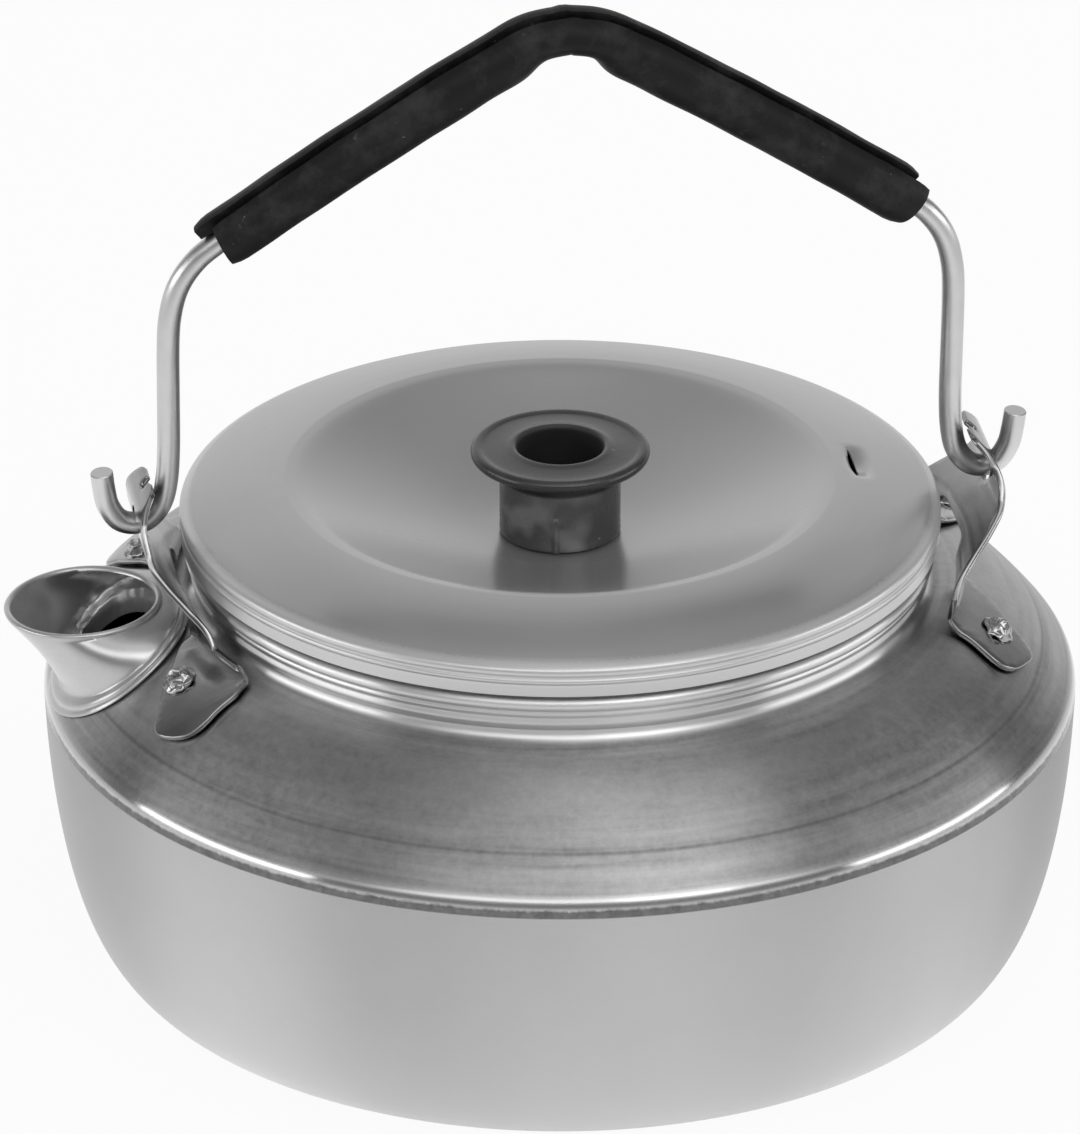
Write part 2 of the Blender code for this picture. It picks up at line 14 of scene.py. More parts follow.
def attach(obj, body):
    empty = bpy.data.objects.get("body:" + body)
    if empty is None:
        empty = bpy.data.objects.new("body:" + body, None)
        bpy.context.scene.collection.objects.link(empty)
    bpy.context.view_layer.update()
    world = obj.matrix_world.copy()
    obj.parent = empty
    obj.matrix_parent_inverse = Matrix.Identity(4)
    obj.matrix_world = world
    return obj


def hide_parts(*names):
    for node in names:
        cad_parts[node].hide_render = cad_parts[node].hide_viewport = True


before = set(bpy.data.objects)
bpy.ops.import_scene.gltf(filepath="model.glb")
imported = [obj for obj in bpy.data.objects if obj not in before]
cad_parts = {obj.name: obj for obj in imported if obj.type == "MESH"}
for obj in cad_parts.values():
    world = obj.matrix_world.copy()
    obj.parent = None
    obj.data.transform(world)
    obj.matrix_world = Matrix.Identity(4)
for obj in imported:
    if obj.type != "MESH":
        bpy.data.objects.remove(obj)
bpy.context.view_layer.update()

MM = 0.001
NOISE_SEED = 7
TURN_SEGMENTS = 256
LID_SEGMENTS = 480
KNOB_SEGMENTS = 320

# Pot
POT_RADIUS = 75.0
POT_SHEET = 0.8
BASE_FLAT_RADIUS = 56.9
FOLD_HEIGHT = 43.0
FOLD_RADIUS = 3.2
FINISH_LINE_HEIGHT = 41.0
WALL_ROUND_OUT = 0.61
WALL_ROUND_DOWN = 1.19
SHOULDER_IN_RADIUS = 54.5
SHOULDER_IN_HEIGHT = 57.8
SHOULDER_CROWN = 3.0
NECK_RADIUS = 53.0
NECK_FILLET_RADIUS = 1.9
NECK_BEAD_CENTRE = (53.3, 63.85)
NECK_BEAD_RADIUS = 1.15
THROAT_GAP = 0.3
SCORE_HEIGHT = 48.7

# Lid
LID_SHEET = 0.8
LID_RIDGE_RADIUS = 38.4
LID_RIDGE_HEIGHT = 74.2
LID_DISH_DEPTH = 8.7
LID_SEAT_RADIUS = 9.4
LID_SKIRT_FOOT = 59.0
LID_HOLE_RADIUS = 2.4
VENT_RADIUS = 42.2
VENT_TURN = math.radians(-1.5)
VENT_ACROSS = Vector((math.cos(VENT_TURN), math.sin(VENT_TURN), 0))
VENT_AROUND = Vector((-math.sin(VENT_TURN), math.cos(VENT_TURN), 0))

# Knob and its fastening
KNOB_STEM_RADIUS = 8.8
KNOB_FOOT = 65.8
KNOB_WELL_RADIUS = 6.1
KNOB_WELL_FLOOR = 69.6
FASTENING_BORE = 2.3
SCREW_RADIUS = 2.0
SCREW_HEAD_RADIUS = 3.6
THREAD_TOP = 64.0
THREAD_FOOT = 60.3
THREAD_TURNS = 11
WASHER_TOP = 64.4
WASHER_RADIUS = 4.5
NUT_TOP = WASHER_TOP - 1.1
NUT_FLAT_RADIUS = 3.507
NUT_CORNER_RADIUS = 4.05

# Spout
SPOUT_ROOT_X = -64.6
SPOUT_ROOT_LENGTH = 9.6
SPOUT_ROOT_WIDTH = 15.2
SPOUT_THROAT_LENGTH = 7.3
SPOUT_THROAT_WIDTH = 12.2
SPOUT_MOUTH_X = -69.7
SPOUT_MOUTH_HEIGHT = 59.4
SPOUT_MOUTH_RADIUS = 11.4
SPOUT_MOUTH_TILT = 0.061
SPOUT_WALL = 1.0
SPOUT_STEPS = 144

# Ears and rivets; each foot's corners are (distance to the side, height, corner radius)
EAR_SHEET = 0.9
EAR_EDGE_ROUND = 0.2
EAR_HOLE_RADIUS = 2.45
EAR_HOLE_RISE = 0.1
EAR_INSET_SPOUT = 1.8
EAR_LIFT = 0.3
EAR_REAR_FOOT = ((19.8, 59.4, 0.8), (24.1, 58.5, 1.0), (31.6, 52.3, 2.4), (22.2, 50.4, 4.5),
                 (18.0, 53.9, 2.5), (10.6, 57.2, 1.0))
EAR_SPOUT_FOOT = ((18.6, 59.4, 0.8), (24.6, 59.4, 0.8), (29.8, 57.3, 2.5), (34.2, 52.4, 2.6),
                  (28.0, 50.8, 4.5), (23.8, 53.4, 2.5), (17.6, 56.2, 2.0), (12.8, 57.7, 1.0))
RIVET_X_REAR = 59.8
RIVET_X_SPOUT = -58.0
RIVET_Y = 21.7

# Bail
PIVOT_HEIGHT = 71.2
BAIL_LEAN = math.radians(4)
WIRE_RADIUS = 1.65
LEG_HALF_SPACING = 57.0
BAIL_HEIGHT = 74.7
GRIP_RADIUS = 4.25
GRIP_BORE = 1.9
GRIP_SLIT_TURN = math.radians(200)
GRIP_CROWN_THINNING = 1.7

# Heights, radii or distances over which a finish, a painted shade or a painted sheen fades in: none at the
# first, full at the second
FOLD_POLISH = (44.4, 43.4)
NECK_POLISH = (57.9, 58.5)
# Painted shade in a ragged band just under the fold
UNDER_FOLD_SHADE = (42.9, 42.5)
SCORE = (0.30, 0.05)
LID_RIM = (53.4, 54.2)
# Painted sheen on the knob's stem, standing for the lid it reflects
STEM_SHEEN = (74.9, 74.4)
# Painted shade on the knob: on the stem's top under the disc, and in the well
STEM_SHADE = (74.4, 74.9)
DISC_SHADE = (77.1, 76.8)
WELL_SHADE = (6.6, 6.2)

# Studio, in metres
FLOOR_HALF_SIZE = 2.5
FLOOR_DROP = 0.0002
SOFTBOX_DISTANCE = 1.5
LIGHT_AIM = Vector((0, 0, 0.05))
CAMERA_AZIMUTH = -9
CAMERA_ELEVATION = 26.01
CAMERA_DISTANCE = 1.8013
CAMERA_AIM = Vector((-0.002866, 0.000454, 0.059393))
CAMERA_LENS = 414.2
CAMERA_SENSOR = 36


def arc(centre, radius, start, end, steps):
    """Points on an arc from start to end, in degrees."""
    angles = [math.radians(start + (end - start) * i / steps) for i in range(steps + 1)]
    return [(centre[0] + radius * math.cos(a), centre[1] + radius * math.sin(a)) for a in angles]


def oval(length, width, steps):
    """Points round an oval whose half axes are the length and the width."""
    turns = [2 * math.pi * i / steps for i in range(steps)]
    return [(length * math.cos(a), width * math.sin(a)) for a in turns]


def smooth_line(points, steps):
    """A Catmull-Rom curve through the points, with the given steps between each pair."""
    points = [Vector(p) for p in points]
    padded = [2 * points[0] - points[1], *points, 2 * points[-1] - points[-2]]
    line = []
    for a, b, c, d in zip(padded, padded[1:], padded[2:], padded[3:]):
        for i in range(steps):
            t = i / steps
            line.append(0.5 * (2 * b + (c - a) * t + (2 * a - 5 * b + 4 * c - d) * t**2
                               + (3 * b - a - 3 * c + d) * t**3))
    line.append(points[-1])
    return line


def offset_line(points, distance, closed=False):
    """Move each point of an outline to its left by the distance."""
    moved = []
    count = len(points)
    for i, point in enumerate(points):
        before = Vector(points[i - 1] if closed else points[max(i - 1, 0)])
        after = Vector(points[(i + 1) % count] if closed else points[min(i + 1, count - 1)])
        along = (after - before).normalized()
        moved.append(Vector((point[0] - along.y * distance, point[1] + along.x * distance)))
    return moved


def rounded_outline(corners, steps=8):
    """A closed outline whose corners (x, y, radius) are rounded."""
    outline = []
    count = len(corners)
    for i, (x, y, radius) in enumerate(corners):
        here = Vector((x, y))
        to_last = (Vector(corners[i - 1][:2]) - here).normalized()
        to_next = (Vector(corners[(i + 1) % count][:2]) - here).normalized()
        reach = radius / math.tan(to_last.angle(to_next) / 2)
        start = here + to_last * reach
        end = here + to_next * reach
        for s in range(steps + 1):
            t = s / steps
            outline.append((1 - t) ** 2 * start + 2 * t * (1 - t) * here + t**2 * end)
    return outline


def even_outline(outline, step):
    """The same closed outline with points about one step apart."""
    points = []
    for a, b in zip(outline, outline[1:] + outline[:1]):
        parts = max(1, round((b - a).length / step))
        points += [a.lerp(b, i / parts) for i in range(parts)]
    return points


def add_piece(name, vertices, faces, material, body=None, nodes=(), sharp=40):
    """A smooth-shaded mesh, in millimetres, that rides on a body and stands for CAD nodes."""
    mesh = bpy.data.meshes.new(name)
    mesh.from_pydata([Vector(v) * MM for v in vertices], [], faces)
    bm = bmesh.new()
    bm.from_mesh(mesh)
    bmesh.ops.remove_doubles(bm, verts=bm.verts, dist=1e-7)
    bmesh.ops.recalc_face_normals(bm, faces=bm.faces)
    bm.to_mesh(mesh)
    bm.free()
    mesh.materials.append(material)
    mesh.shade_smooth()
    mesh.set_sharp_from_angle(angle=math.radians(sharp))
    piece = bpy.data.objects.new(name, mesh)
    bpy.context.collection.objects.link(piece)
    if body:
        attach(piece, body)
        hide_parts(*nodes)
    return piece


def turned(loop, segments=TURN_SEGMENTS, warp=None):
    """Vertices and faces of a closed (radius, height) outline turned about Z."""
    vertices, rows = [], []
    for r, z in loop:
        count = 1 if r < 1e-6 else segments
        rows.append([len(vertices) + i for i in range(count)])
        for i in range(count):
            a = 2 * math.pi * i / segments
            point = Vector((r * math.cos(a), r * math.sin(a), z))
            vertices.append(warp(point) if warp else point)
    faces = []
    for low, high in zip(rows, rows[1:] + rows[:1]):
        for i in range(segments):
            j = (i + 1) % segments
            corners = [low[i % len(low)], low[j % len(low)], high[j % len(high)], high[i % len(high)]]
            corners = list(dict.fromkeys(corners))
            if len(corners) > 2:
                faces.append(corners)
    return vertices, faces


def lofted(rings, closed=False):
    """Vertices and faces of a skin over rings of equal length, capped unless it closes on itself."""
    size = len(rings[0])
    vertices = [p for ring in rings for p in ring]
    count = len(rings)
    faces = []
    for row in range(count if closed else count - 1):
        low, high = row * size, (row + 1) % count * size
        faces += [(low + i, low + (i + 1) % size, high + (i + 1) % size, high + i) for i in range(size)]
    if not closed:
        faces.append(tuple(range(size)))
        faces.append(tuple(range((count - 1) * size, count * size)))
    return vertices, faces


def wobble(point, size, amount):
    """A small smooth shift of a point, as hand-worked metal has."""
    return point + noise.noise_vector(point / size) * amount


# Materials


class Nodes:
    """A node tree under construction; each call adds a node and links or sets its inputs."""

    def __init__(self, tree):
        self.tree = tree

    def add(self, kind, inputs=None, **settings):
        item = self.tree.nodes.new(kind)
        for key, value in settings.items():
            setattr(item, key, value)
        for key, value in (inputs or {}).items():
            self.put(item.inputs[key], value)
        return item

    def put(self, socket, value):
        if isinstance(value, bpy.types.NodeSocket):
            self.tree.links.new(value, socket)
        else:
            socket.default_value = value

    def math(self, operation, a, b=0.0, c=0.0):
        return self.add("ShaderNodeMath", {0: a, 1: b, 2: c}, operation=operation).outputs[0]

    def noise(self, vector, scale, detail=2.0, roughness=0.5):
        inputs = {"Vector": vector, "Scale": scale, "Detail": detail, "Roughness": roughness}
        return self.add("ShaderNodeTexNoise", inputs).outputs[0]

    def ramp(self, value, low, high, out_low=0.0, out_high=1.0):
        inputs = {"Value": value, "From Min": low, "From Max": high, "To Min": out_low, "To Max": out_high}
        return self.add("ShaderNodeMapRange", inputs).outputs[0]

    def fade(self, length, span, out_low=0.0, out_high=1.0):
        """A ramp over a span that is given in millimetres."""
        return self.ramp(length, span[0] * MM, span[1] * MM, out_low, out_high)

    def mix(self, share, first, second):
        return self.add("ShaderNodeMix", {0: share, 2: first, 3: second}, data_type="FLOAT").outputs[0]

    def vary(self, tone, pattern, amount):
        """The tone, shifted by a pattern that runs from 0 to 1 about its middle."""
        return self.math("MULTIPLY_ADD", self.math("SUBTRACT", pattern, 0.5), amount, tone)

    def grey(self, value):
        return self.add("ShaderNodeCombineColor", {"Red": value, "Green": value, "Blue": value}).outputs[0]

    def bump(self, height, distance, strength=1.0, normal=None):
        inputs = {"Height": height, "Distance": distance * MM, "Strength": strength}
        if normal:
            inputs["Normal"] = normal
        return self.add("ShaderNodeBump", inputs).outputs[0]


def new_material(name):
    """A material, its node tree, its shader and the piece's own coordinates, in metres."""
    material = bpy.data.materials.new(name)
    material.use_nodes = True
    nodes = Nodes(material.node_tree)
    shader = material.node_tree.nodes["Principled BSDF"]
    place = nodes.add("ShaderNodeTexCoord").outputs["Object"]
    return material, nodes, shader, place


def ring_place(nodes, place):
    """Coordinates that run fast across turned rings and slowly along them; and the radius and height."""
    split = nodes.add("ShaderNodeSeparateXYZ", {0: place}).outputs
    flat = nodes.add("ShaderNodeCombineXYZ", {0: split[0], 1: split[1]}).outputs[0]
    radius = nodes.add("ShaderNodeVectorMath", {0: flat}, operation="LENGTH").outputs["Value"]
    around = nodes.add("ShaderNodeVectorMath", {0: flat}, operation="NORMALIZE").outputs[0]
    turn = nodes.add("ShaderNodeSeparateXYZ", {0: around}).outputs
    across = nodes.math("MULTIPLY_ADD", split[2], 1.7, radius)
    rings = nodes.add("ShaderNodeCombineXYZ", {
        0: nodes.math("MULTIPLY", across, 1000.0),
        1: nodes.math("MULTIPLY", turn[0], 1.5),
        2: nodes.math("MULTIPLY", turn[1], 1.5)}).outputs[0]
    return rings, radius, split[2]


def brush_across_rings(nodes, shader, amount):
    """Stretch highlights across the turned rings, as their grooves do."""
    shader.inputs["Anisotropic"].default_value = amount
    shader.inputs["Anisotropic Rotation"].default_value = 0.25
    tangent = nodes.add("ShaderNodeTangent", direction_type="RADIAL", axis="Z").outputs[0]
    nodes.put(shader.inputs["Tangent"], tangent)


def pot_material():
    """Brushed and mottled above the finish line, satin below it, with painted shade in a band just under the
    fold.
    """
    # Patterns and the zones where each finish shows
    material, nodes, shader, place = new_material("kettle_pot")
    rings, _, height = ring_place(nodes, place)
    lines = nodes.noise(rings, 2.2, 3.0, 0.6)
    bands = nodes.noise(rings, 0.28, 2.0)
    shorter = nodes.add("ShaderNodeMapping", {0: rings, "Scale": (1.0, 1.3, 1.3)}).outputs[0]
    streaks = nodes.noise(shorter, 1.1, 3.0, 0.65)
    mottle = nodes.noise(place, 700.0, 5.0, 0.75)
    clouds = nodes.noise(place, 60.0, 3.0)
    satin = nodes.fade(height, (FINISH_LINE_HEIGHT + 0.1, FINISH_LINE_HEIGHT - 0.1))
    fold = nodes.fade(height, FOLD_POLISH)
    neck = nodes.fade(height, NECK_POLISH)
    polish = nodes.math("MAXIMUM", fold, neck)
    plain = nodes.math("SUBTRACT", 1.0, polish)
    # Tone
    brushed_tone = nodes.vary(0.39, mottle, 0.26)
    brushed_tone = nodes.vary(brushed_tone, streaks, 0.30)
    brushed_tone = nodes.vary(brushed_tone, bands, 0.24)
    from_score = nodes.math("ABSOLUTE", nodes.math("SUBTRACT", height, SCORE_HEIGHT * MM))
    scored = nodes.fade(from_score, SCORE, 0.0, 0.10)
    brushed_tone = nodes.math("SUBTRACT", brushed_tone, scored)
    brushed_tone = nodes.vary(brushed_tone, clouds, 0.12)
    polished_tone = nodes.math("MULTIPLY_ADD", neck, 0.18, 0.58)
    # Painted shade: a ragged band just under the fold is darkened, mottled like the brushed finish
    ragged_height = nodes.math("MULTIPLY_ADD", mottle, 0.9 * MM, height)
    under_fold_shade = nodes.fade(ragged_height, UNDER_FOLD_SHADE)
    under_fold_shade_tone = nodes.math("MULTIPLY_ADD", mottle, 0.24, -0.54)
    polished_tone = nodes.math("MULTIPLY_ADD", under_fold_shade, under_fold_shade_tone, polished_tone)
    brighter = nodes.math("SUBTRACT", polished_tone, brushed_tone)
    brushed_tone = nodes.math("MULTIPLY_ADD", polish, brighter, brushed_tone)
    satin_tone = nodes.math("MULTIPLY_ADD", clouds, 0.05, 0.62)
    nodes.put(shader.inputs["Base Color"], nodes.grey(nodes.mix(satin, brushed_tone, satin_tone)))
    # Roughness and relief
    brushed_rough = nodes.math("MULTIPLY_ADD", mottle, 0.16, nodes.math("MULTIPLY_ADD", lines, 0.12, 0.20))
    polished_rough = nodes.math("MULTIPLY_ADD", neck, 0.14, 0.18)
    smoother = nodes.math("SUBTRACT", polished_rough, brushed_rough)
    brushed_rough = nodes.math("MULTIPLY_ADD", polish, smoother, brushed_rough)
    satin_rough = nodes.math("MULTIPLY_ADD", mottle, 0.05, 0.58)
    nodes.put(shader.inputs["Roughness"], nodes.mix(satin, brushed_rough, satin_rough))
    shader.inputs["Metallic"].default_value = 1.0
    brush_across_rings(nodes, shader, 0.85)
    ground = nodes.math("MULTIPLY", plain, nodes.math("MULTIPLY_ADD", satin, -0.8, 1.0))
    first = nodes.bump(streaks, 0.010, ground)
    nodes.put(shader.inputs["Normal"], nodes.bump(mottle, 0.003, ground, first))
    return material


def lid_material():
    """Satin aluminium turned in rings, with a brighter rolled rim."""
    material, nodes, shader, place = new_material("kettle_lid")
    rings, radius, _ = ring_place(nodes, place)
    lines = nodes.noise(rings, 3.0, 3.0, 0.6)
    clouds = nodes.noise(place, 45.0, 3.0)
    grain = nodes.noise(place, 2200.0, 2.0)
    rim = nodes.fade(radius, LID_RIM)
    tone = nodes.math("MULTIPLY_ADD", clouds, 0.04, nodes.math("MULTIPLY_ADD", lines, 0.02, 0.45))
    nodes.put(shader.inputs["Base Color"], nodes.grey(nodes.math("MULTIPLY_ADD", rim, 0.20, tone)))
    rough = nodes.math("MULTIPLY_ADD", clouds, 0.06, nodes.math("MULTIPLY_ADD", grain, 0.04, 0.20))
    nodes.put(shader.inputs["Roughness"], nodes.math("MULTIPLY_ADD", rim, 0.10, rough))
    shader.inputs["Metallic"].default_value = 0.65
    brush_across_rings(nodes, shader, 0.3)
    nodes.put(shader.inputs["Normal"], nodes.bump(lines, 0.0015, nodes.math("SUBTRACT", 1.0, rim)))
    return material


def spout_material():
    """Cast and tumbled aluminium, cloudy and lightly uneven."""
    material, nodes, shader, place = new_material("kettle_spout")
    clouds = nodes.noise(place, 130.0, 3.0)
    grain = nodes.noise(place, 1500.0, 3.0, 0.6)
    tone = nodes.math("MULTIPLY_ADD", clouds, 0.16, nodes.math("MULTIPLY_ADD", grain, 0.05, 0.44))
    nodes.put(shader.inputs["Base Color"], nodes.grey(tone))
    nodes.put(shader.inputs["Roughness"], nodes.math("MULTIPLY_ADD", clouds, 0.14, 0.22))
    shader.inputs["Metallic"].default_value = 0.75
    first = nodes.bump(clouds, 0.10)
    nodes.put(shader.inputs["Normal"], nodes.bump(grain, 0.006, 1.0, first))
    return material


def polished_metal(name, tone, roughness, waves):
    """Polished metal with fine scratches and a faintly uneven surface."""
    material, nodes, shader, place = new_material(name)
    stretched = nodes.add("ShaderNodeMapping", {0: place, "Scale": (1.0, 1.0, 0.12)}).outputs[0]
    scratches = nodes.noise(stretched, 2600.0, 2.0)
    clouds = nodes.noise(place, 300.0, 2.0)
    nodes.put(shader.inputs["Base Color"], nodes.grey(nodes.math("MULTIPLY_ADD", clouds, 0.10, tone)))
    nodes.put(shader.inputs["Roughness"], nodes.math("MULTIPLY_ADD", scratches, 0.10, roughness))
    shader.inputs["Metallic"].default_value = 1.0
    first = nodes.bump(clouds, waves)
    nodes.put(shader.inputs["Normal"], nodes.bump(scratches, 0.004, 1.0, first))
    return material


def knob_material():
    """Glossy black plastic with handling marks and a few dust specks, a painted sheen on the stem, and
    painted shade in the well and under the disc.
    """
    material, nodes, shader, place = new_material("kettle_knob")
    clouds = nodes.noise(place, 220.0, 3.0)
    fine = nodes.noise(place, 1600.0, 3.0)
    specks = nodes.ramp(nodes.noise(place, 900.0, 1.0), 0.76, 0.80)
    _, radius, height = ring_place(nodes, place)
    # Painted sheen: the stem is lightened in patches, as a reflection of the lid
    stem = nodes.fade(height, STEM_SHEEN)
    # Painted shade: darker tone in the well and on the stem's top just under the disc
    well = nodes.fade(radius, WELL_SHADE)
    shade = nodes.math("MULTIPLY", nodes.fade(height, STEM_SHADE), nodes.fade(height, DISC_SHADE))
    light = nodes.math("SUBTRACT", 1.0, nodes.math("MAXIMUM", well, shade))
    patches = nodes.ramp(nodes.noise(place, 190.0, 1.0), 0.46, 0.66, 0.03, 0.13)
    tone = nodes.math("MULTIPLY_ADD", clouds, 0.03, 0.022)
    # Painted sheen: lighter patches on the stem
    tone = nodes.math("MULTIPLY_ADD", stem, patches, tone)
    tone = nodes.math("MULTIPLY_ADD", specks, 0.14, tone)
    nodes.put(shader.inputs["Base Color"], nodes.grey(nodes.math("MULTIPLY", tone, light)))
    rough = nodes.math("MULTIPLY_ADD", clouds, 0.25, 0.15)
    nodes.put(shader.inputs["Roughness"], nodes.math("MULTIPLY_ADD", well, 0.6, rough))
    shader.inputs["IOR"].default_value = 1.6
    first = nodes.bump(clouds, 0.05)
    nodes.put(shader.inputs["Normal"], nodes.bump(fine, 0.004, 1.0, first))
    return material


def rubber_material():
    """Matte black rubber with scuffs, rubbed patches and light specks."""
    material, nodes, shader, place = new_material("kettle_grip")
    patches = nodes.noise(place, 70.0, 4.0, 0.6)
    fine = nodes.noise(place, 1400.0, 3.0, 0.6)
    scuffs = nodes.ramp(nodes.noise(place, 420.0, 4.0, 0.7), 0.66, 0.72)
    specks = nodes.ramp(nodes.noise(place, 1100.0, 1.0), 0.78, 0.82)
    worn = nodes.ramp(nodes.noise(place, 110.0, 5.0, 0.7), 0.48, 0.66)
    tone = nodes.math("MULTIPLY_ADD", worn, 0.022, 0.008)
    tone = nodes.math("MULTIPLY_ADD", scuffs, 0.035, tone)
    tone = nodes.math("MULTIPLY_ADD", specks, 0.10, tone)
    nodes.put(shader.inputs["Base Color"], nodes.grey(tone))
    nodes.put(shader.inputs["Roughness"], nodes.math("MULTIPLY_ADD", patches, 0.25, 0.40))
    shader.inputs["IOR"].default_value = 1.45
    shader.inputs["Specular IOR Level"].default_value = 0.3
    first = nodes.bump(patches, 0.25)
    nodes.put(shader.inputs["Normal"], nodes.bump(fine, 0.012, 1.0, first))
    return material


# Pot


def shoulder_height(radius):
    """Height of the pot's outer skin on the domed shoulder."""
    share = (radius - SHOULDER_IN_RADIUS) / (POT_RADIUS - SHOULDER_IN_RADIUS)
    straight = SHOULDER_IN_HEIGHT + (FOLD_HEIGHT - SHOULDER_IN_HEIGHT) * share
    return straight + 4 * SHOULDER_CROWN * share * (1 - share)


def shoulder_slope(radius):
    return (shoulder_height(radius + 0.05) - shoulder_height(radius - 0.05)) / 0.1


def shoulder_normal(x, y):
    radius = math.hypot(x, y)
    slope = shoulder_slope(radius)
    return Vector((-slope * x / radius, -slope * y / radius, 1)).normalized()


def shoulder_point(x, y, lift):
    return Vector((x, y, shoulder_height(math.hypot(x, y)))) + shoulder_normal(x, y) * lift


def pot_wall():
    """Outer skin of the base and the side, up to just under the line where the finish changes."""
    skin = [(0, 0.3), (8, 0.3), (30, 0.3), (48.6, 0.3), (49.4, 0.0), (53, 0.0), (BASE_FLAT_RADIUS, 0.0)]
    for step in range(41):
        a = math.radians(88 - step * 2)
        radius = BASE_FLAT_RADIUS + (POT_RADIUS - BASE_FLAT_RADIUS) * math.cos(a) ** WALL_ROUND_OUT
        skin.append((radius, FOLD_HEIGHT * (1 - math.sin(a) ** WALL_ROUND_DOWN)))
    return skin


def pot_shoulder():
    """Outer skin from just under the finish line over the fold and up the shoulder."""
    normal_angle = math.degrees(math.atan2(1, -shoulder_slope(POT_RADIUS - 0.5)))
    end = math.radians(normal_angle)
    touch = POT_RADIUS - FOLD_RADIUS * (1 - math.cos(end))
    centre = (POT_RADIUS - FOLD_RADIUS, shoulder_height(touch) - FOLD_RADIUS * math.sin(end))
    skin = [(POT_RADIUS, FINISH_LINE_HEIGHT - 0.4), (POT_RADIUS, FINISH_LINE_HEIGHT)]
    skin += arc(centre, FOLD_RADIUS, 0, normal_angle, 9)
    steps = 24
    for i in range(1, steps + 1):
        radius = touch + (NECK_RADIUS + NECK_FILLET_RADIUS - touch) * i / steps
        skin.append((radius, shoulder_height(radius)))
    return skin


def pot_neck():
    """Outer skin from the fillet above the shoulder over the turned ribs to the bead."""
    centre_radius = NECK_RADIUS + NECK_FILLET_RADIUS
    centre = (centre_radius, shoulder_height(centre_radius) + NECK_FILLET_RADIUS)
    skin = arc(centre, NECK_FILLET_RADIUS, 262, 184, 8)
    skin += smooth_line([(53.02, 59.65), (53.34, 60.05), (53.64, 60.55), (53.72, 60.95), (53.60, 61.45),
                         (53.56, 61.70), (53.70, 62.10), (53.76, 62.35), (53.64, 62.70), (53.66, 62.85)], 3)
    return skin


def build_pot(material):
    """One spun sheet with a rolled bead under the lid, and the throat cut where the spout stands."""
    outer = pot_wall() + pot_shoulder() + pot_neck()
    bead = arc(NECK_BEAD_CENTRE, NECK_BEAD_RADIUS, -52, 100, 14)
    bead += arc(NECK_BEAD_CENTRE, NECK_BEAD_RADIUS, 118, 205, 6)
    inner = [(p.x, p.y) for p in offset_line(outer, POT_SHEET)]
    loop = [Vector(p) for p in outer + bead + inner[::-1]]
    vertices, faces = turned(loop, warp=lambda p: wobble(p, 34, 0.05))
    pot = add_piece("pot_visual", vertices, faces, material, "pot", ["pot_body"], 30)
    throat = oval(SPOUT_THROAT_LENGTH + THROAT_GAP, SPOUT_THROAT_WIDTH + THROAT_GAP, 64)
    cut(pot, *lofted([[(SPOUT_ROOT_X + x, y, z) for x, y in throat] for z in (36, 62)]))
    return pot


def cut(piece, vertices, faces):
    """Cut a closed shape out of a piece and drop the cutter."""
    cutter = add_piece("cutter", vertices, faces, piece.data.materials[0])
    modifier = piece.modifiers.new("cut", "BOOLEAN")
    modifier.object = cutter
    graph = bpy.context.evaluated_depsgraph_get()
    cut_mesh = bpy.data.meshes.new_from_object(piece.evaluated_get(graph))
    piece.modifiers.clear()
    old = piece.data
    piece.data = cut_mesh
    cut_mesh.name = old.name + "_cut"
    bpy.data.meshes.remove(old)
    bpy.data.objects.remove(cutter, do_unlink=True)


# Lid


def dish_height(radius):
    """Height of the lid's upper skin in the dish, which is flat where the knob sits."""
    floor = LID_RIDGE_HEIGHT - LID_DISH_DEPTH
    share = max(0.0, radius - LID_SEAT_RADIUS) / (LID_RIDGE_RADIUS - LID_SEAT_RADIUS)
    return floor + LID_DISH_DEPTH * share ** 1.5


def lid_skin():
    """Upper skin of the lid from the screw hole out, over the ridge and down the rim."""
    skin = [(LID_HOLE_RADIUS, dish_height(0)), (LID_SEAT_RADIUS, dish_height(0))]
    skin += [(r, dish_height(r)) for r in [LID_SEAT_RADIUS + 1.2 * i for i in range(1, 23)]]
    ridge = [(36.9, dish_height(36.9)), (37.7, 73.83), (LID_RIDGE_RADIUS, 74.03), (39.3, 74.17), (40.2, 74.2)]
    flange = [(43.0, 73.83), (46.0, 73.18), (49.0, 72.35), (51.5, 71.56), (53.2, 70.93)]
    skin += smooth_line(ridge + flange, 6)
    skin += arc((54.05, 69.35), 1.0, 68, -25, 10)
    skin += [(54.87, 68.74), (54.85, 68.62)]
    skin += arc((54.52, 68.05), 0.55, 50, -50, 8)
    skin += [(54.84, 67.50), (54.86, 67.20)]
    skin += arc((54.76, 65.88), 0.14, 20, -90, 5)
    return skin


def build_lid(material):
    """One sheet with a rolled rim and a skirt, dented and slit for the vent."""
    upper = lid_skin()
    skirt_radius = NECK_RADIUS - POT_SHEET - 0.3
    under = [(54.4, 65.77), (53.2, 66.2)]
    skirt = [(skirt_radius + 0.3, 66.5), (skirt_radius, 66.1), (skirt_radius, 62.0),
             (skirt_radius - 0.1, LID_SKIRT_FOOT)]
    inner_skirt = [(skirt_radius - 0.75, LID_SKIRT_FOOT), (skirt_radius - LID_SHEET, 62.0),
                   (skirt_radius - LID_SHEET, 66.8)]
    inside_flange = [(skirt_radius + 0.2, 67.4), (54.0, 67.6), (54.2, 69.0), (53.6, 69.8)]
    flange = [(r, z - LID_SHEET) for r, z in upper if r < 53.4]
    loop = [Vector(p) for p in upper + under + skirt + inner_skirt + inside_flange + flange[::-1]]
    vertices, faces = turned(loop, LID_SEGMENTS, lambda p: vent_dent(wobble(p, 40, 0.05)))
    lid = add_piece("lid_visual", vertices, faces, material, "lid", ["lid"], 32)
    cut(lid, *vent_slot())
    return lid


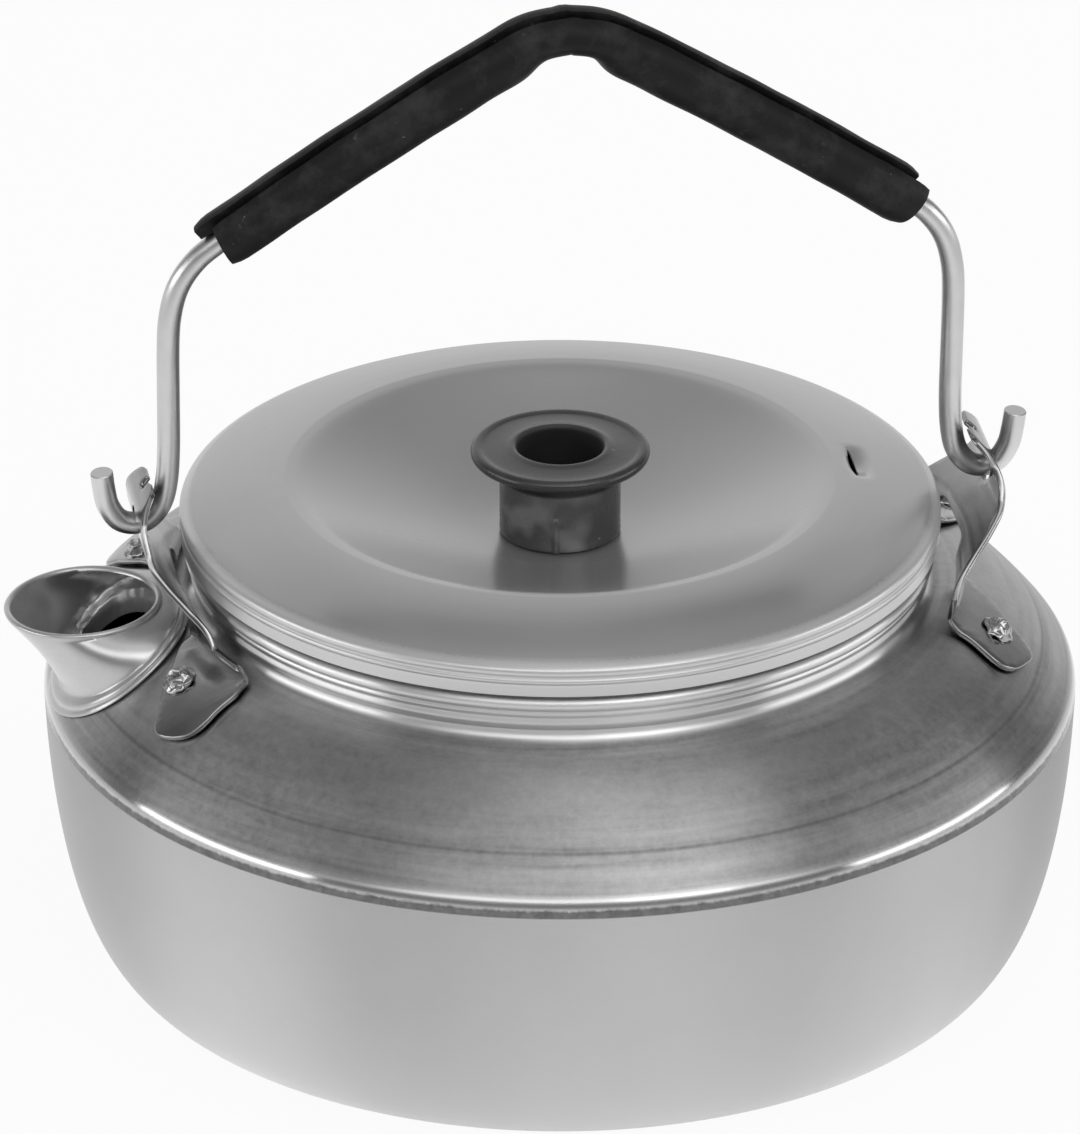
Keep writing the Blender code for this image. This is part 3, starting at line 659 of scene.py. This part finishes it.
def vent_dent(point):
    """Press the lid's sheet down beside the vent's slit, as a lanced vent is."""
    out = point.dot(VENT_ACROSS) - VENT_RADIUS
    along = point.dot(VENT_AROUND)
    if point.z < 72 or abs(out) > 5 or abs(along) > 7:
        return point
    side = (max(0.0, 1 - ((out - 1.1) / 2.4) ** 2) * max(0.0, 1 - (along / 6.0) ** 2)) ** 2
    lip = math.exp(-((out + 0.3) / 0.6) ** 2) * max(0.0, 1 - (along / 5.0) ** 2)
    return point + Vector((0, 0, 0.45 * lip - 1.5 * side))


def vent_slot():
    """A crescent slit through the lid."""
    outline = [(0.45 - 0.35 * (1 - (s / 4) ** 2), s * 1.2) for s in (-4, -3, -2, -1, 0, 1, 2, 3, 4)]
    outline += [(0.50 + 0.6 * (1 - (s / 4) ** 2), s * 1.2) for s in (3, 2, 1, 0, -1, -2, -3)]
    flat = [VENT_ACROSS * (VENT_RADIUS + out) + VENT_AROUND * along for out, along in outline]
    return lofted([[p + Vector((0, 0, z)) for p in flat] for z in (70, 76)])


# Knob


def build_knob(material):
    """A stem under a wide disc with a rounded edge, and a well for the screw down through both."""
    stem = KNOB_STEM_RADIUS
    loop = [(FASTENING_BORE, KNOB_FOOT), (stem - 0.35, KNOB_FOOT), (stem - 0.1, KNOB_FOOT + 0.1),
            (stem, KNOB_FOOT + 0.4)]
    loop += [(stem - 0.03, KNOB_FOOT + 0.4 + 0.4 * i) for i in range(1, 23)]
    loop += smooth_line([(stem + 0.1, 76.0), (9.5, 76.7), (10.8, 77.0), (11.9, 77.15)], 4)
    loop += arc((12.05, 78.05), 0.9, -80, 95, 12)
    loop += smooth_line([(11.5, 78.84), (11.0, 78.70), (9.6, 78.72), (8.1, 78.86), (7.4, 79.02)], 3)
    loop += arc((6.95, 78.35), 0.75, 75, 180, 8)
    loop += [(KNOB_WELL_RADIUS, 77.2), (KNOB_WELL_RADIUS - 0.15, KNOB_WELL_FLOOR),
             (FASTENING_BORE, KNOB_WELL_FLOOR)]
    vertices, faces = turned(loop, KNOB_SEGMENTS, mould_rib)
    return add_piece("knob_visual", vertices, faces, material, "lid", ["lid_knob"], 35)


def mould_rib(point):
    """Raise a short rib with a wider head on the front of the knob's stem."""
    radius = math.hypot(point.x, point.y)
    moved = wobble(point, 9, 0.04)
    if radius < KNOB_STEM_RADIUS - 0.4 or point.z > 71.2:
        return moved
    aside = (math.atan2(point.y, point.x) + math.radians(90 + 13)) * KNOB_STEM_RADIUS
    half_width = 0.95 if point.z > 69.9 else 0.45
    raised = 0.30 * math.exp(-(aside / half_width) ** 4) / radius
    return moved + Vector((point.x, point.y, 0)) * raised


def build_screw(material):
    """A cross-head screw that stands in the knob's well and reaches down through the nut."""
    top = KNOB_WELL_FLOOR + 0.3
    loop = [(0, top + 2.2), (1.6, top + 2.1), (2.9, top + 1.5), (SCREW_HEAD_RADIUS, top + 0.5),
            (SCREW_HEAD_RADIUS, top), (SCREW_RADIUS, top)]
    pitch = (THREAD_TOP - THREAD_FOOT) / THREAD_TURNS
    for i in range(THREAD_TURNS):
        z = THREAD_TOP - i * pitch
        loop += [(SCREW_RADIUS, z), (SCREW_RADIUS - 0.25, z - pitch / 2)]
    loop += [(SCREW_RADIUS - 0.3, THREAD_FOOT), (0, THREAD_FOOT)]
    screw = add_piece("screw_visual", *turned(loop, 64), material, "lid", ["knob_screw"])
    for w, d in ((0.35, 1.9), (1.9, 0.35)):
        corners = [(-w, -d), (w, -d), (w, d), (-w, d)]
        levels = ((top + 0.9, 0.6), (top + 3, 1.0))
        cut(screw, *lofted([[(x * size, y * size, z) for x, y in corners] for z, size in levels]))


def build_washer(material):
    top, radius = WASHER_TOP, WASHER_RADIUS
    loop = [(FASTENING_BORE, top), (radius - 0.15, top), (radius, top - 0.15), (radius, top - 0.65),
            (radius - 0.15, top - 0.8), (FASTENING_BORE, top - 0.8)]
    add_piece("washer_visual", *turned(loop, 96), material, "lid", ["knob_washer"])


def build_nut(material):
    """A hexagon nut with its corners turned off at both faces."""
    steps = 96
    foot = NUT_TOP - 2.4
    rings = []
    for z, chamfer in ((NUT_TOP, 0.35), (NUT_TOP - 0.3, 0.0), (NUT_TOP - 2.1, 0.0), (foot, 0.35)):
        ring = []
        for i in range(steps):
            a = 2 * math.pi * i / steps
            flat = NUT_FLAT_RADIUS / math.cos((a + math.pi / 6) % (math.pi / 3) - math.pi / 6)
            reach = min(flat, NUT_CORNER_RADIUS - chamfer)
            ring.append((reach * math.cos(a), reach * math.sin(a), z))
        rings.append(ring)
    bore = [[(x, y, z) for x, y in oval(FASTENING_BORE, FASTENING_BORE, steps)] for z in (foot, NUT_TOP)]
    add_piece("nut_visual", *lofted(rings + bore, closed=True), material, "lid", ["knob_nut"], 25)


# Spout


def root_ring(grow, lift, at_throat=False):
    """A ring that follows the shoulder, grown outwards and lifted off the pot's skin."""
    length = SPOUT_THROAT_LENGTH if at_throat else SPOUT_ROOT_LENGTH
    width = SPOUT_THROAT_WIDTH if at_throat else SPOUT_ROOT_WIDTH
    ring = []
    for x, y in oval(length + grow, width + grow, SPOUT_STEPS):
        height = shoulder_height(math.hypot(SPOUT_ROOT_X + x, y)) + lift
        ring.append(Vector((SPOUT_ROOT_X + x, y, height)))
    return ring


def mouth_ring(radius, drop):
    """A ring in the mouth's tilted plane, or dropped below it."""
    ring = []
    for x, y in oval(radius, radius, SPOUT_STEPS):
        ring.append(Vector((SPOUT_MOUTH_X + x, y, SPOUT_MOUTH_HEIGHT + x * SPOUT_MOUTH_TILT - drop)))
    return ring


def between(root, mouth, share, waist, belly):
    """A ring part of the way up, drawn in on the pouring side and swollen on the flanks."""
    ring = []
    for low, high in zip(root, mouth):
        point = low.lerp(high, share)
        outward = max(0.0, (SPOUT_ROOT_X - low.x) / SPOUT_ROOT_LENGTH)
        flank = low.y / SPOUT_ROOT_WIDTH
        bow = math.sin(math.pi * share)
        point.x += waist * outward * bow
        point.y += belly * flank * bow
        ring.append(point)
    return ring


def spout_rings():
    """Rings from the mouth down the outside, over the bead at the root, and up the bore and the inside."""
    outer_root = root_ring(-0.9, 2.0)
    outer_mouth = mouth_ring(SPOUT_MOUTH_RADIUS - 0.1, 0.75)
    rings = [mouth_ring(SPOUT_MOUTH_RADIUS - 0.5, 0.0), mouth_ring(SPOUT_MOUTH_RADIUS - 0.2, 0.1),
             mouth_ring(SPOUT_MOUTH_RADIUS, 0.4), outer_mouth]
    down = (0.94, 0.85, 0.72, 0.58, 0.44, 0.3, 0.18, 0.08, 0)
    rings += [between(outer_root, outer_mouth, share, 0.9, 0.6) for share in down]
    rings += [root_ring(-0.75, 1.65), root_ring(-0.35, 1.62), root_ring(0.0, 1.45), root_ring(0.15, 1.12),
              root_ring(0.08, 0.85), root_ring(0.3, 0.78), root_ring(0.55, 0.62), root_ring(0.6, 0.4),
              root_ring(0.45, 0.15)]
    rings += [root_ring(0, 0.15, True), root_ring(0, -2.3, True), root_ring(0.6, -2.3, True)]
    rings += [root_ring(0.6, -3.0, True), root_ring(-1.0, -3.0, True)]
    bore = [root_ring(-1.0, z, True) for z in (-1.0, 0.6)]
    ledge = [root_ring(-0.7, 1.0, True), root_ring(0.1, 1.05, True), root_ring(-2.4, 1.25),
             root_ring(-2.0, 1.8)]
    inner_root = root_ring(-2.0, 2.0)
    inner_mouth = mouth_ring(SPOUT_MOUTH_RADIUS - SPOUT_WALL, 0.6)
    cone = [between(inner_root, inner_mouth, share, 0.9, 0.5) for share in (0, 0.2, 0.4, 0.6, 0.8, 1)]
    cone.append(mouth_ring(SPOUT_MOUTH_RADIUS - SPOUT_WALL + 0.15, 0.15))
    crimp = bore[-1:] + ledge
    for ring in crimp:
        for point in ring:
            point += noise.noise_vector(point / 1.3) * 0.22
    return rings + bore + ledge + cone


def build_spout(material):
    vertices, faces = lofted(spout_rings(), closed=True)
    vertices = [wobble(v, 12, 0.08) for v in vertices]
    return add_piece("spout_visual", vertices, faces, material, "pot", ["spout"], 60)


# Ears


def ear_profile(inset):
    """Fine middle line of the ear's sheet: (x, height, share that follows the pot's round), rising."""
    lift = EAR_LIFT + EAR_SHEET / 2
    foot = []
    for radius in (72.0, 70.0, 68.0, 66.0, 64.0, 62.0, 60.6 - inset, 59.6 - inset):
        point = shoulder_point(radius, 0, lift)
        foot.append((point.x, point.z, 1.0))
    upright = [(58.2, 58.3, 1.0), (57.75, 59.6, 0.95), (57.8, 61.6, 0.7), (58.8, 64.0, 0.3),
               (60.9, 66.8, 0.0), (62.6, 69.0, 0.0), (63.2, 71.4, 0.0), (62.8, 73.7, 0.0),
               (61.6, 75.8, 0.0), (59.9, 77.6, 0.0), (59.2, 78.5, 0.0)]
    bow, tip = 71.4, 77.6
    for x, z, follow in upright:
        fade = min(1.0, max(0.0, (tip - z) / (tip - bow)))
        foot.append((x - inset * fade, z, follow))
    return smooth_line(foot, 6)


def profile_at(profile, z):
    """The profile's point at a height."""
    for low, high in zip(profile, profile[1:]):
        if z <= high.y:
            return low.lerp(high, (z - low.y) / (high.y - low.y))
    return profile[-1]


def ear_point(profile, side, y, z, lift):
    """A point of the ear's sheet seen at (y, z), lifted off its middle surface."""

    def surface(yy, zz):
        x, _, follow = profile_at(profile, zz)
        rounded = math.sqrt(max(x * x - yy * yy, 0.0))
        return Vector((x + (rounded - x) * follow, yy, zz))

    along = surface(y, z + 0.05) - surface(y, z - 0.05)
    across = surface(y + 0.05, z) - surface(y - 0.05, z)
    square = across.cross(along).normalized()
    point = surface(y, z) + square * lift
    return Vector((side * point.x, point.y, point.z))


def ear_outline(foot):
    """The ear seen along X: a rounded tip with a notch, two legs, and a foot at the end of each."""
    half = [(0.9, 76.6, 0.5), (0.9, 77.8, 0.3), (4.8, 77.8, 2.4), (8.2, 74.6, 3.0), (10.6, 70.4, 5.0),
            (16.2, 63.6, 6.0), *foot, (9.4, 58.8, 1.0), (8.0, 63.2, 3.4)]
    mirrored = [(-y, z, r) for y, z, r in reversed(half)]
    return even_outline(rounded_outline(half + mirrored), 0.45)


def inside(point, outline):
    """Whether a point lies in a closed outline."""
    odd = False
    for a, b in zip(outline, outline[1:] + outline[:1]):
        if (a.y > point.y) != (b.y > point.y):
            if point.x < (b.x - a.x) * (point.y - a.y) / (b.y - a.y) + a.x:
                odd = not odd
    return odd


def in_sheet(point, edge, eye):
    return inside(point, edge) and not inside(point, eye)


def fill_sheet(edge, eye):
    """Flat points and triangles that fill the ear's edge round its eye, over staggered rows of spots."""
    spacing = 0.7
    row_height = 0.6
    lowest = 48
    spots = []
    for row in range(52):
        shift = spacing / 2 if row % 2 else 0
        spots += [Vector((i * spacing + shift, lowest + row * row_height)) for i in range(-42, 43)]
    borders = edge + eye
    spots = [s for s in spots if in_sheet(s, edge, eye)
             and min((s - b).length for b in borders) > spacing / 2]
    loops = [(i, (i + 1) % len(edge)) for i in range(len(edge))]
    loops += [(len(edge) + i, len(edge) + (i + 1) % len(eye)) for i in range(len(eye))]
    flat, _, triangles, *_ = delaunay_2d_cdt(borders + spots, loops, [], 0, 1e-6)
    kept = []
    for triangle in triangles:
        middle = sum((flat[i] for i in triangle), Vector((0, 0))) / 3
        if in_sheet(middle, edge, eye):
            kept.append(triangle)
    return flat, kept


def build_ear(name, node, side, inset, foot, material):
    """A bent sheet with rounded edges, triangulated in its outline and lifted onto its surface."""
    profile = ear_profile(inset)
    outline = ear_outline(foot)
    area = sum(a.x * b.y - b.x * a.y for a, b in zip(outline, outline[1:] + outline[:1]))
    inward = 1 if area > 0 else -1
    hole = [Vector(p) for p in arc((0, PIVOT_HEIGHT + EAR_HOLE_RISE), EAR_HOLE_RADIUS, 0, 354, 59)]
    half = EAR_SHEET / 2
    e = EAR_EDGE_ROUND
    steps = [(e, half), (0.3 * e, half - 0.3 * e), (0, half - e)]
    steps += [(step_in, -lift) for step_in, lift in reversed(steps)]
    vertices, faces = [], []

    def lifted(flat, lift):
        return [ear_point(profile, side, p.x, p.y, lift) for p in flat]

    for border, turn in ((outline, inward), (hole, -1)):
        base = len(vertices)
        count = len(border)
        for step_in, lift in steps:
            vertices += lifted(offset_line(border, turn * step_in, closed=True), lift)
        for low in range(base, len(vertices) - count, count):
            high = low + count
            for i in range(count):
                j = (i + 1) % count
                faces.append((low + i, low + j, high + j, high + i))

    flat, triangles = fill_sheet(offset_line(outline, inward * e, closed=True),
                                 offset_line(hole, -e, closed=True))
    for lift in (half, -half):
        base = len(vertices)
        vertices += lifted(flat, lift)
        faces += [tuple(base + i for i in triangle) for triangle in triangles]
    return add_piece(name, vertices, faces, material, "pot", [node], 50)


def build_rivet(name, node, x, y, shift, material):
    """A hammered hollow rivet, its head raised in a ring round a pit; the shift gives each its own dents."""
    under = EAR_LIFT + EAR_SHEET + 0.02
    head = [(0, under + 0.6), (0.5, under + 0.5), (0.8, under + 0.9), (1.1, under + 1.4), (1.4, under + 1.3),
            (1.65, under + 0.8), (2.0, under + 0.6), (2.4, under + 0.4), (2.5, under + 0.1), (2.4, under)]
    tail = [(1.3, under), (1.3, -1.4), (2.0, -1.4), (2.0, -2.1), (1.7, -2.3), (0, -2.3)]
    loop = smooth_line(head, 3) + [Vector(p) for p in tail]
    offset = Vector((shift * 7.3, shift * 3.1, 0))

    def hammered(point):
        if point.z < under - 0.01:
            return point
        coarse = noise.noise_vector((point + offset) / 1.1) * 0.45
        fine = noise.noise_vector((point + offset) / 0.4) * 0.12
        return point + (coarse + fine)

    vertices, faces = turned(loop, 48, hammered)
    turn = Vector((0, 0, 1)).rotation_difference(shoulder_normal(x, y)).to_matrix()
    foot = shoulder_point(x, y, 0)
    return add_piece(name, [turn @ v + foot for v in vertices], faces, material, "pot", [node], 50)


# Bail


def bail_route():
    """Right half of the bail's centre line, (x, height over the pivot), from the hook to the crown."""
    leg = LEG_HALF_SPACING
    hook = [(66.7, 8.6), (66.4, 6.0), (65.8, 3.2), (64.3, 0.8), (62.0, 0.0), (59.8, 0.8), (58.1, 3.2),
            (leg + 0.3, 6.8), (leg, 12.0)]
    straight = [(leg, 20.0), (leg, 28.5), (56.7, 33.5), (55.6, 38.0), (53.4, 41.7)]
    arm = [(50.0, 44.8), (40.4, 51.5), (28.8, 59.2), (17.3, 66.6), (9.0, 71.6), (4.5, 73.9),
           (0.0, BAIL_HEIGHT)]
    return hook, straight, arm


def mirrored_line(right):
    """The whole line from its right half, which ends on the middle."""
    return right + [Vector((-p.x, p.y)) for p in reversed(right[:-1])]


def swept(line, section):
    """Rings of a section (out, aside, along) carried along a line that lies in the bail's plane."""
    side = Vector((0, math.cos(BAIL_LEAN), math.sin(BAIL_LEAN)))
    up = Vector((0, -math.sin(BAIL_LEAN), math.cos(BAIL_LEAN)))
    right = Vector((1, 0, 0))
    pivot = Vector((0, 0, PIVOT_HEIGHT))
    rings = []
    for i, point in enumerate(line):
        along = (line[min(i + 1, len(line) - 1)] - line[max(i - 1, 0)]).normalized()
        across = Vector((-along.y, along.x))
        ring = []
        for out, aside, shift in section(i):
            flat = point + across * out + along * shift
            ring.append(pivot + right * flat.x + up * flat.y + side * aside)
        rings.append(ring)
    return rings


def build_wire(material):
    """The bent wire, with its two cut ends a little broken at the edge."""
    hook, straight, arm = bail_route()
    line = mirrored_line(smooth_line(hook + straight + arm, 6))
    chamfer = 0.12
    end = (line[0] - line[1]).normalized() * chamfer
    line = [line[0] + end, *line, line[-1] + Vector((-end.x, end.y))]
    last = len(line) - 1

    def section(i):
        radius = WIRE_RADIUS - (chamfer if i in (0, last) else 0)
        return [(x, y, 0) for x, y in oval(radius, radius, 32)]

    vertices, faces = lofted(swept(line, section))
    return add_piece("wire_visual", vertices, faces, material, "bail", ["bail_wire"], 30)


def build_grip(material):
    """A thick rubber sleeve, split along its top, whose two edges have slipped past each other."""
    arm = bail_route()[2]
    line = mirrored_line(smooth_line(arm, 10))
    last = len(line) - 1
    slit = 0.10
    steps = 44

    def section(i):
        from_end = min(i, last - i)
        tuck = (0.45, 0.12, 0.0)[min(from_end, 2)]
        thinning = GRIP_CROWN_THINNING * math.exp(-(line[i].x / 6.5) ** 4)
        points = []
        for k in range(steps + 1):
            share = k / steps
            a = GRIP_SLIT_TURN + slit + (2 * math.pi - 2 * slit) * share
            raised = 0.32 * math.exp(-((1 - share) * steps / 3.2) ** 2)
            sunk = 0.25 * math.exp(-(share * steps / 2.0) ** 2)
            radius = GRIP_RADIUS - tuck + (raised - sunk) - thinning * max(0.0, math.cos(a))
            points.append((radius * math.cos(a), radius * math.sin(a), (share - 0.5) * 2.4))
        for k in range(steps, -1, -1):
            share = k / steps
            a = GRIP_SLIT_TURN + slit * 1.8 + (2 * math.pi - 3.6 * slit) * share
            radius = GRIP_BORE + tuck * 0.4
            points.append((radius * math.cos(a), radius * math.sin(a), (share - 0.5) * 2.4))
        return points

    vertices, faces = lofted(swept(line, section))
    vertices = [wobble(v, 7, 0.16) for v in vertices]
    return add_piece("grip_visual", vertices, faces, material, "bail", ["grip_sleeve"], 50)


# Studio


def build_floor():
    """A floor that is white to the camera apart from a faint shadow, and to metal a pool of light."""
    material = bpy.data.materials.new("studio_floor")
    material.use_nodes = True
    nodes = Nodes(material.node_tree)
    output = material.node_tree.nodes["Material Output"]
    ray = nodes.add("ShaderNodeLightPath").outputs
    place = nodes.add("ShaderNodeTexCoord").outputs["Object"]
    split = nodes.add("ShaderNodeSeparateXYZ", {0: place}).outputs
    distance = nodes.add("ShaderNodeVectorMath", {0: place}, operation="LENGTH").outputs["Value"]
    far = nodes.ramp(split[1], 0.1, 0.5, 0.66, 0.88)
    pool = nodes.ramp(distance, 0.10, 0.36)
    mirrored = nodes.mix(pool, 1.20, far)
    bent = nodes.math("MAXIMUM", ray["Is Glossy Ray"], ray["Is Transmission Ray"])
    strength = nodes.mix(bent, 1.04, mirrored)
    pale = nodes.add("ShaderNodeBsdfDiffuse", {"Color": (0.86, 0.86, 0.86, 1)}).outputs[0]
    white = nodes.add("ShaderNodeEmission", {"Color": (1, 1, 1, 1), "Strength": strength}).outputs[0]
    share = nodes.math("MULTIPLY", nodes.math("MAXIMUM", ray["Is Camera Ray"], bent), 0.86)
    surface = nodes.add("ShaderNodeMixShader", {0: share, 1: pale, 2: white}).outputs[0]
    nodes.put(output.inputs["Surface"], surface)
    mesh = bpy.data.meshes.new("floor")
    size = FLOOR_HALF_SIZE
    corners = [(-size, -size, 0), (size, -size, 0), (size, size, 0), (-size, size, 0)]
    mesh.from_pydata(corners, [], [(0, 1, 2, 3)])
    mesh.materials.append(material)
    floor = bpy.data.objects.new("floor", mesh)
    bpy.context.collection.objects.link(floor)
    floor.location.z = -FLOOR_DROP


def build_world():
    """White to the camera; to metal a dim room with a pale backdrop, a ceiling and two front reflectors."""
    world = bpy.data.worlds.new("studio")
    bpy.context.scene.world = world
    world.use_nodes = True
    nodes = Nodes(world.node_tree)
    background = world.node_tree.nodes["Background"]
    ray = nodes.add("ShaderNodeLightPath").outputs
    direction = nodes.add("ShaderNodeTexCoord").outputs["Generated"]
    split = nodes.add("ShaderNodeSeparateXYZ", {0: direction}).outputs
    backdrop = nodes.ramp(split[1], 0.50, 0.92, 0.0, 0.64)
    ceiling = nodes.ramp(split[2], 0.60, 0.95, 0.0, 0.18)
    low_edge = nodes.ramp(split[2], 0.33, 0.45)
    high_edge = nodes.ramp(split[2], 0.70, 0.58)
    facing = nodes.ramp(split[1], -0.05, -0.40)
    reflector = nodes.math("MULTIPLY", facing, nodes.math("MULTIPLY", low_edge, high_edge))
    room = nodes.math("ADD", nodes.math("ADD", backdrop, ceiling), 0.18)
    room = nodes.math("MULTIPLY_ADD", reflector, 0.50, room)
    strip = nodes.math("MULTIPLY", nodes.ramp(split[2], 0.46, 0.54), nodes.ramp(split[2], 0.82, 0.74))
    strip = nodes.math("MULTIPLY", strip, nodes.ramp(split[1], -0.45, -0.65))
    room = nodes.math("MULTIPLY_ADD", strip, 1.6, room)
    unseen = nodes.mix(ray["Is Diffuse Ray"], room, 0.5)
    nodes.put(background.inputs["Strength"], nodes.mix(ray["Is Camera Ray"], unseen, 1.0))
    background.inputs["Color"].default_value = (1, 1, 1, 1)


def direction_to(azimuth, elevation):
    """The direction away from the kettle at these degrees; azimuth 0 is the front, 90 the picture's right."""
    a, e = math.radians(azimuth), math.radians(elevation)
    return Vector((math.sin(a) * math.cos(e), -math.cos(a) * math.cos(e), math.sin(e)))


def add_softbox(name, azimuth, elevation, width, height, power):
    """A rectangular soft light, sized in metres and powered in watts, that faces the kettle."""
    away = direction_to(azimuth, elevation)
    data = bpy.data.lights.new(name, "AREA")
    data.shape = "RECTANGLE"
    data.size = width
    data.size_y = height
    data.energy = power
    lamp = bpy.data.objects.new(name, data)
    bpy.context.collection.objects.link(lamp)
    lamp.location = away * SOFTBOX_DISTANCE + LIGHT_AIM
    lamp.rotation_euler = away.to_track_quat("Z", "Y").to_euler()


def build_lights():
    add_softbox("softbox_left", azimuth=-85, elevation=10, width=1.25, height=0.4, power=4.4)
    add_softbox("softbox_right", azimuth=77, elevation=10, width=1.25, height=0.4, power=3.7)
    add_softbox("softbox_front", azimuth=27, elevation=66, width=1.1, height=0.7, power=1.5)
    add_softbox("softbox_top", azimuth=21, elevation=90, width=0.42, height=0.8, power=0.35)
    add_softbox("softbox_low", azimuth=17, elevation=32, width=0.6, height=0.4, power=0.8)


def build_camera():
    """The photographer's long lens, a little to the left of the front and well above."""
    away = direction_to(CAMERA_AZIMUTH, CAMERA_ELEVATION)
    data = bpy.data.cameras.new("camera")
    data.lens = CAMERA_LENS
    data.sensor_width = CAMERA_SENSOR
    data.sensor_fit = "HORIZONTAL"
    camera = bpy.data.objects.new("camera", data)
    bpy.context.collection.objects.link(camera)
    camera.location = CAMERA_AIM + away * CAMERA_DISTANCE
    camera.rotation_euler = away.to_track_quat("Z", "Y").to_euler()
    bpy.context.scene.camera = camera


def build_kettle():
    """Every piece; the noise is seeded first, because without a seed it starts from the clock."""
    noise.seed_set(NOISE_SEED)
    ear_steel = polished_metal("kettle_ear", 0.27, 0.12, 0.03)
    rivet_metal = polished_metal("kettle_rivet", 0.38, 0.18, 0.05)
    wire_steel = polished_metal("kettle_wire", 0.62, 0.28, 0.01)
    fastener_steel = polished_metal("kettle_fastener", 0.60, 0.22, 0.01)
    build_pot(pot_material())
    build_spout(spout_material())
    build_lid(lid_material())
    build_knob(knob_material())
    build_screw(fastener_steel)
    build_washer(fastener_steel)
    build_nut(fastener_steel)
    build_ear("ear_rear_visual", "ear_rear", 1, 0.0, EAR_REAR_FOOT, ear_steel)
    build_ear("ear_spout_visual", "ear_spout", -1, EAR_INSET_SPOUT, EAR_SPOUT_FOOT, ear_steel)
    for x, ear in ((RIVET_X_REAR, "rear"), (RIVET_X_SPOUT, "spout")):
        for side, place in ((-1, "front"), (1, "back")):
            name = f"rivet_{ear}_{place}"
            build_rivet(name + "_visual", name, x, side * RIVET_Y, x / 10 + side, rivet_metal)
    build_wire(wire_steel)
    build_grip(rubber_material())


build_kettle()
build_floor()
build_world()
build_lights()
build_camera()
bpy.context.scene.view_settings.view_transform = "Standard"
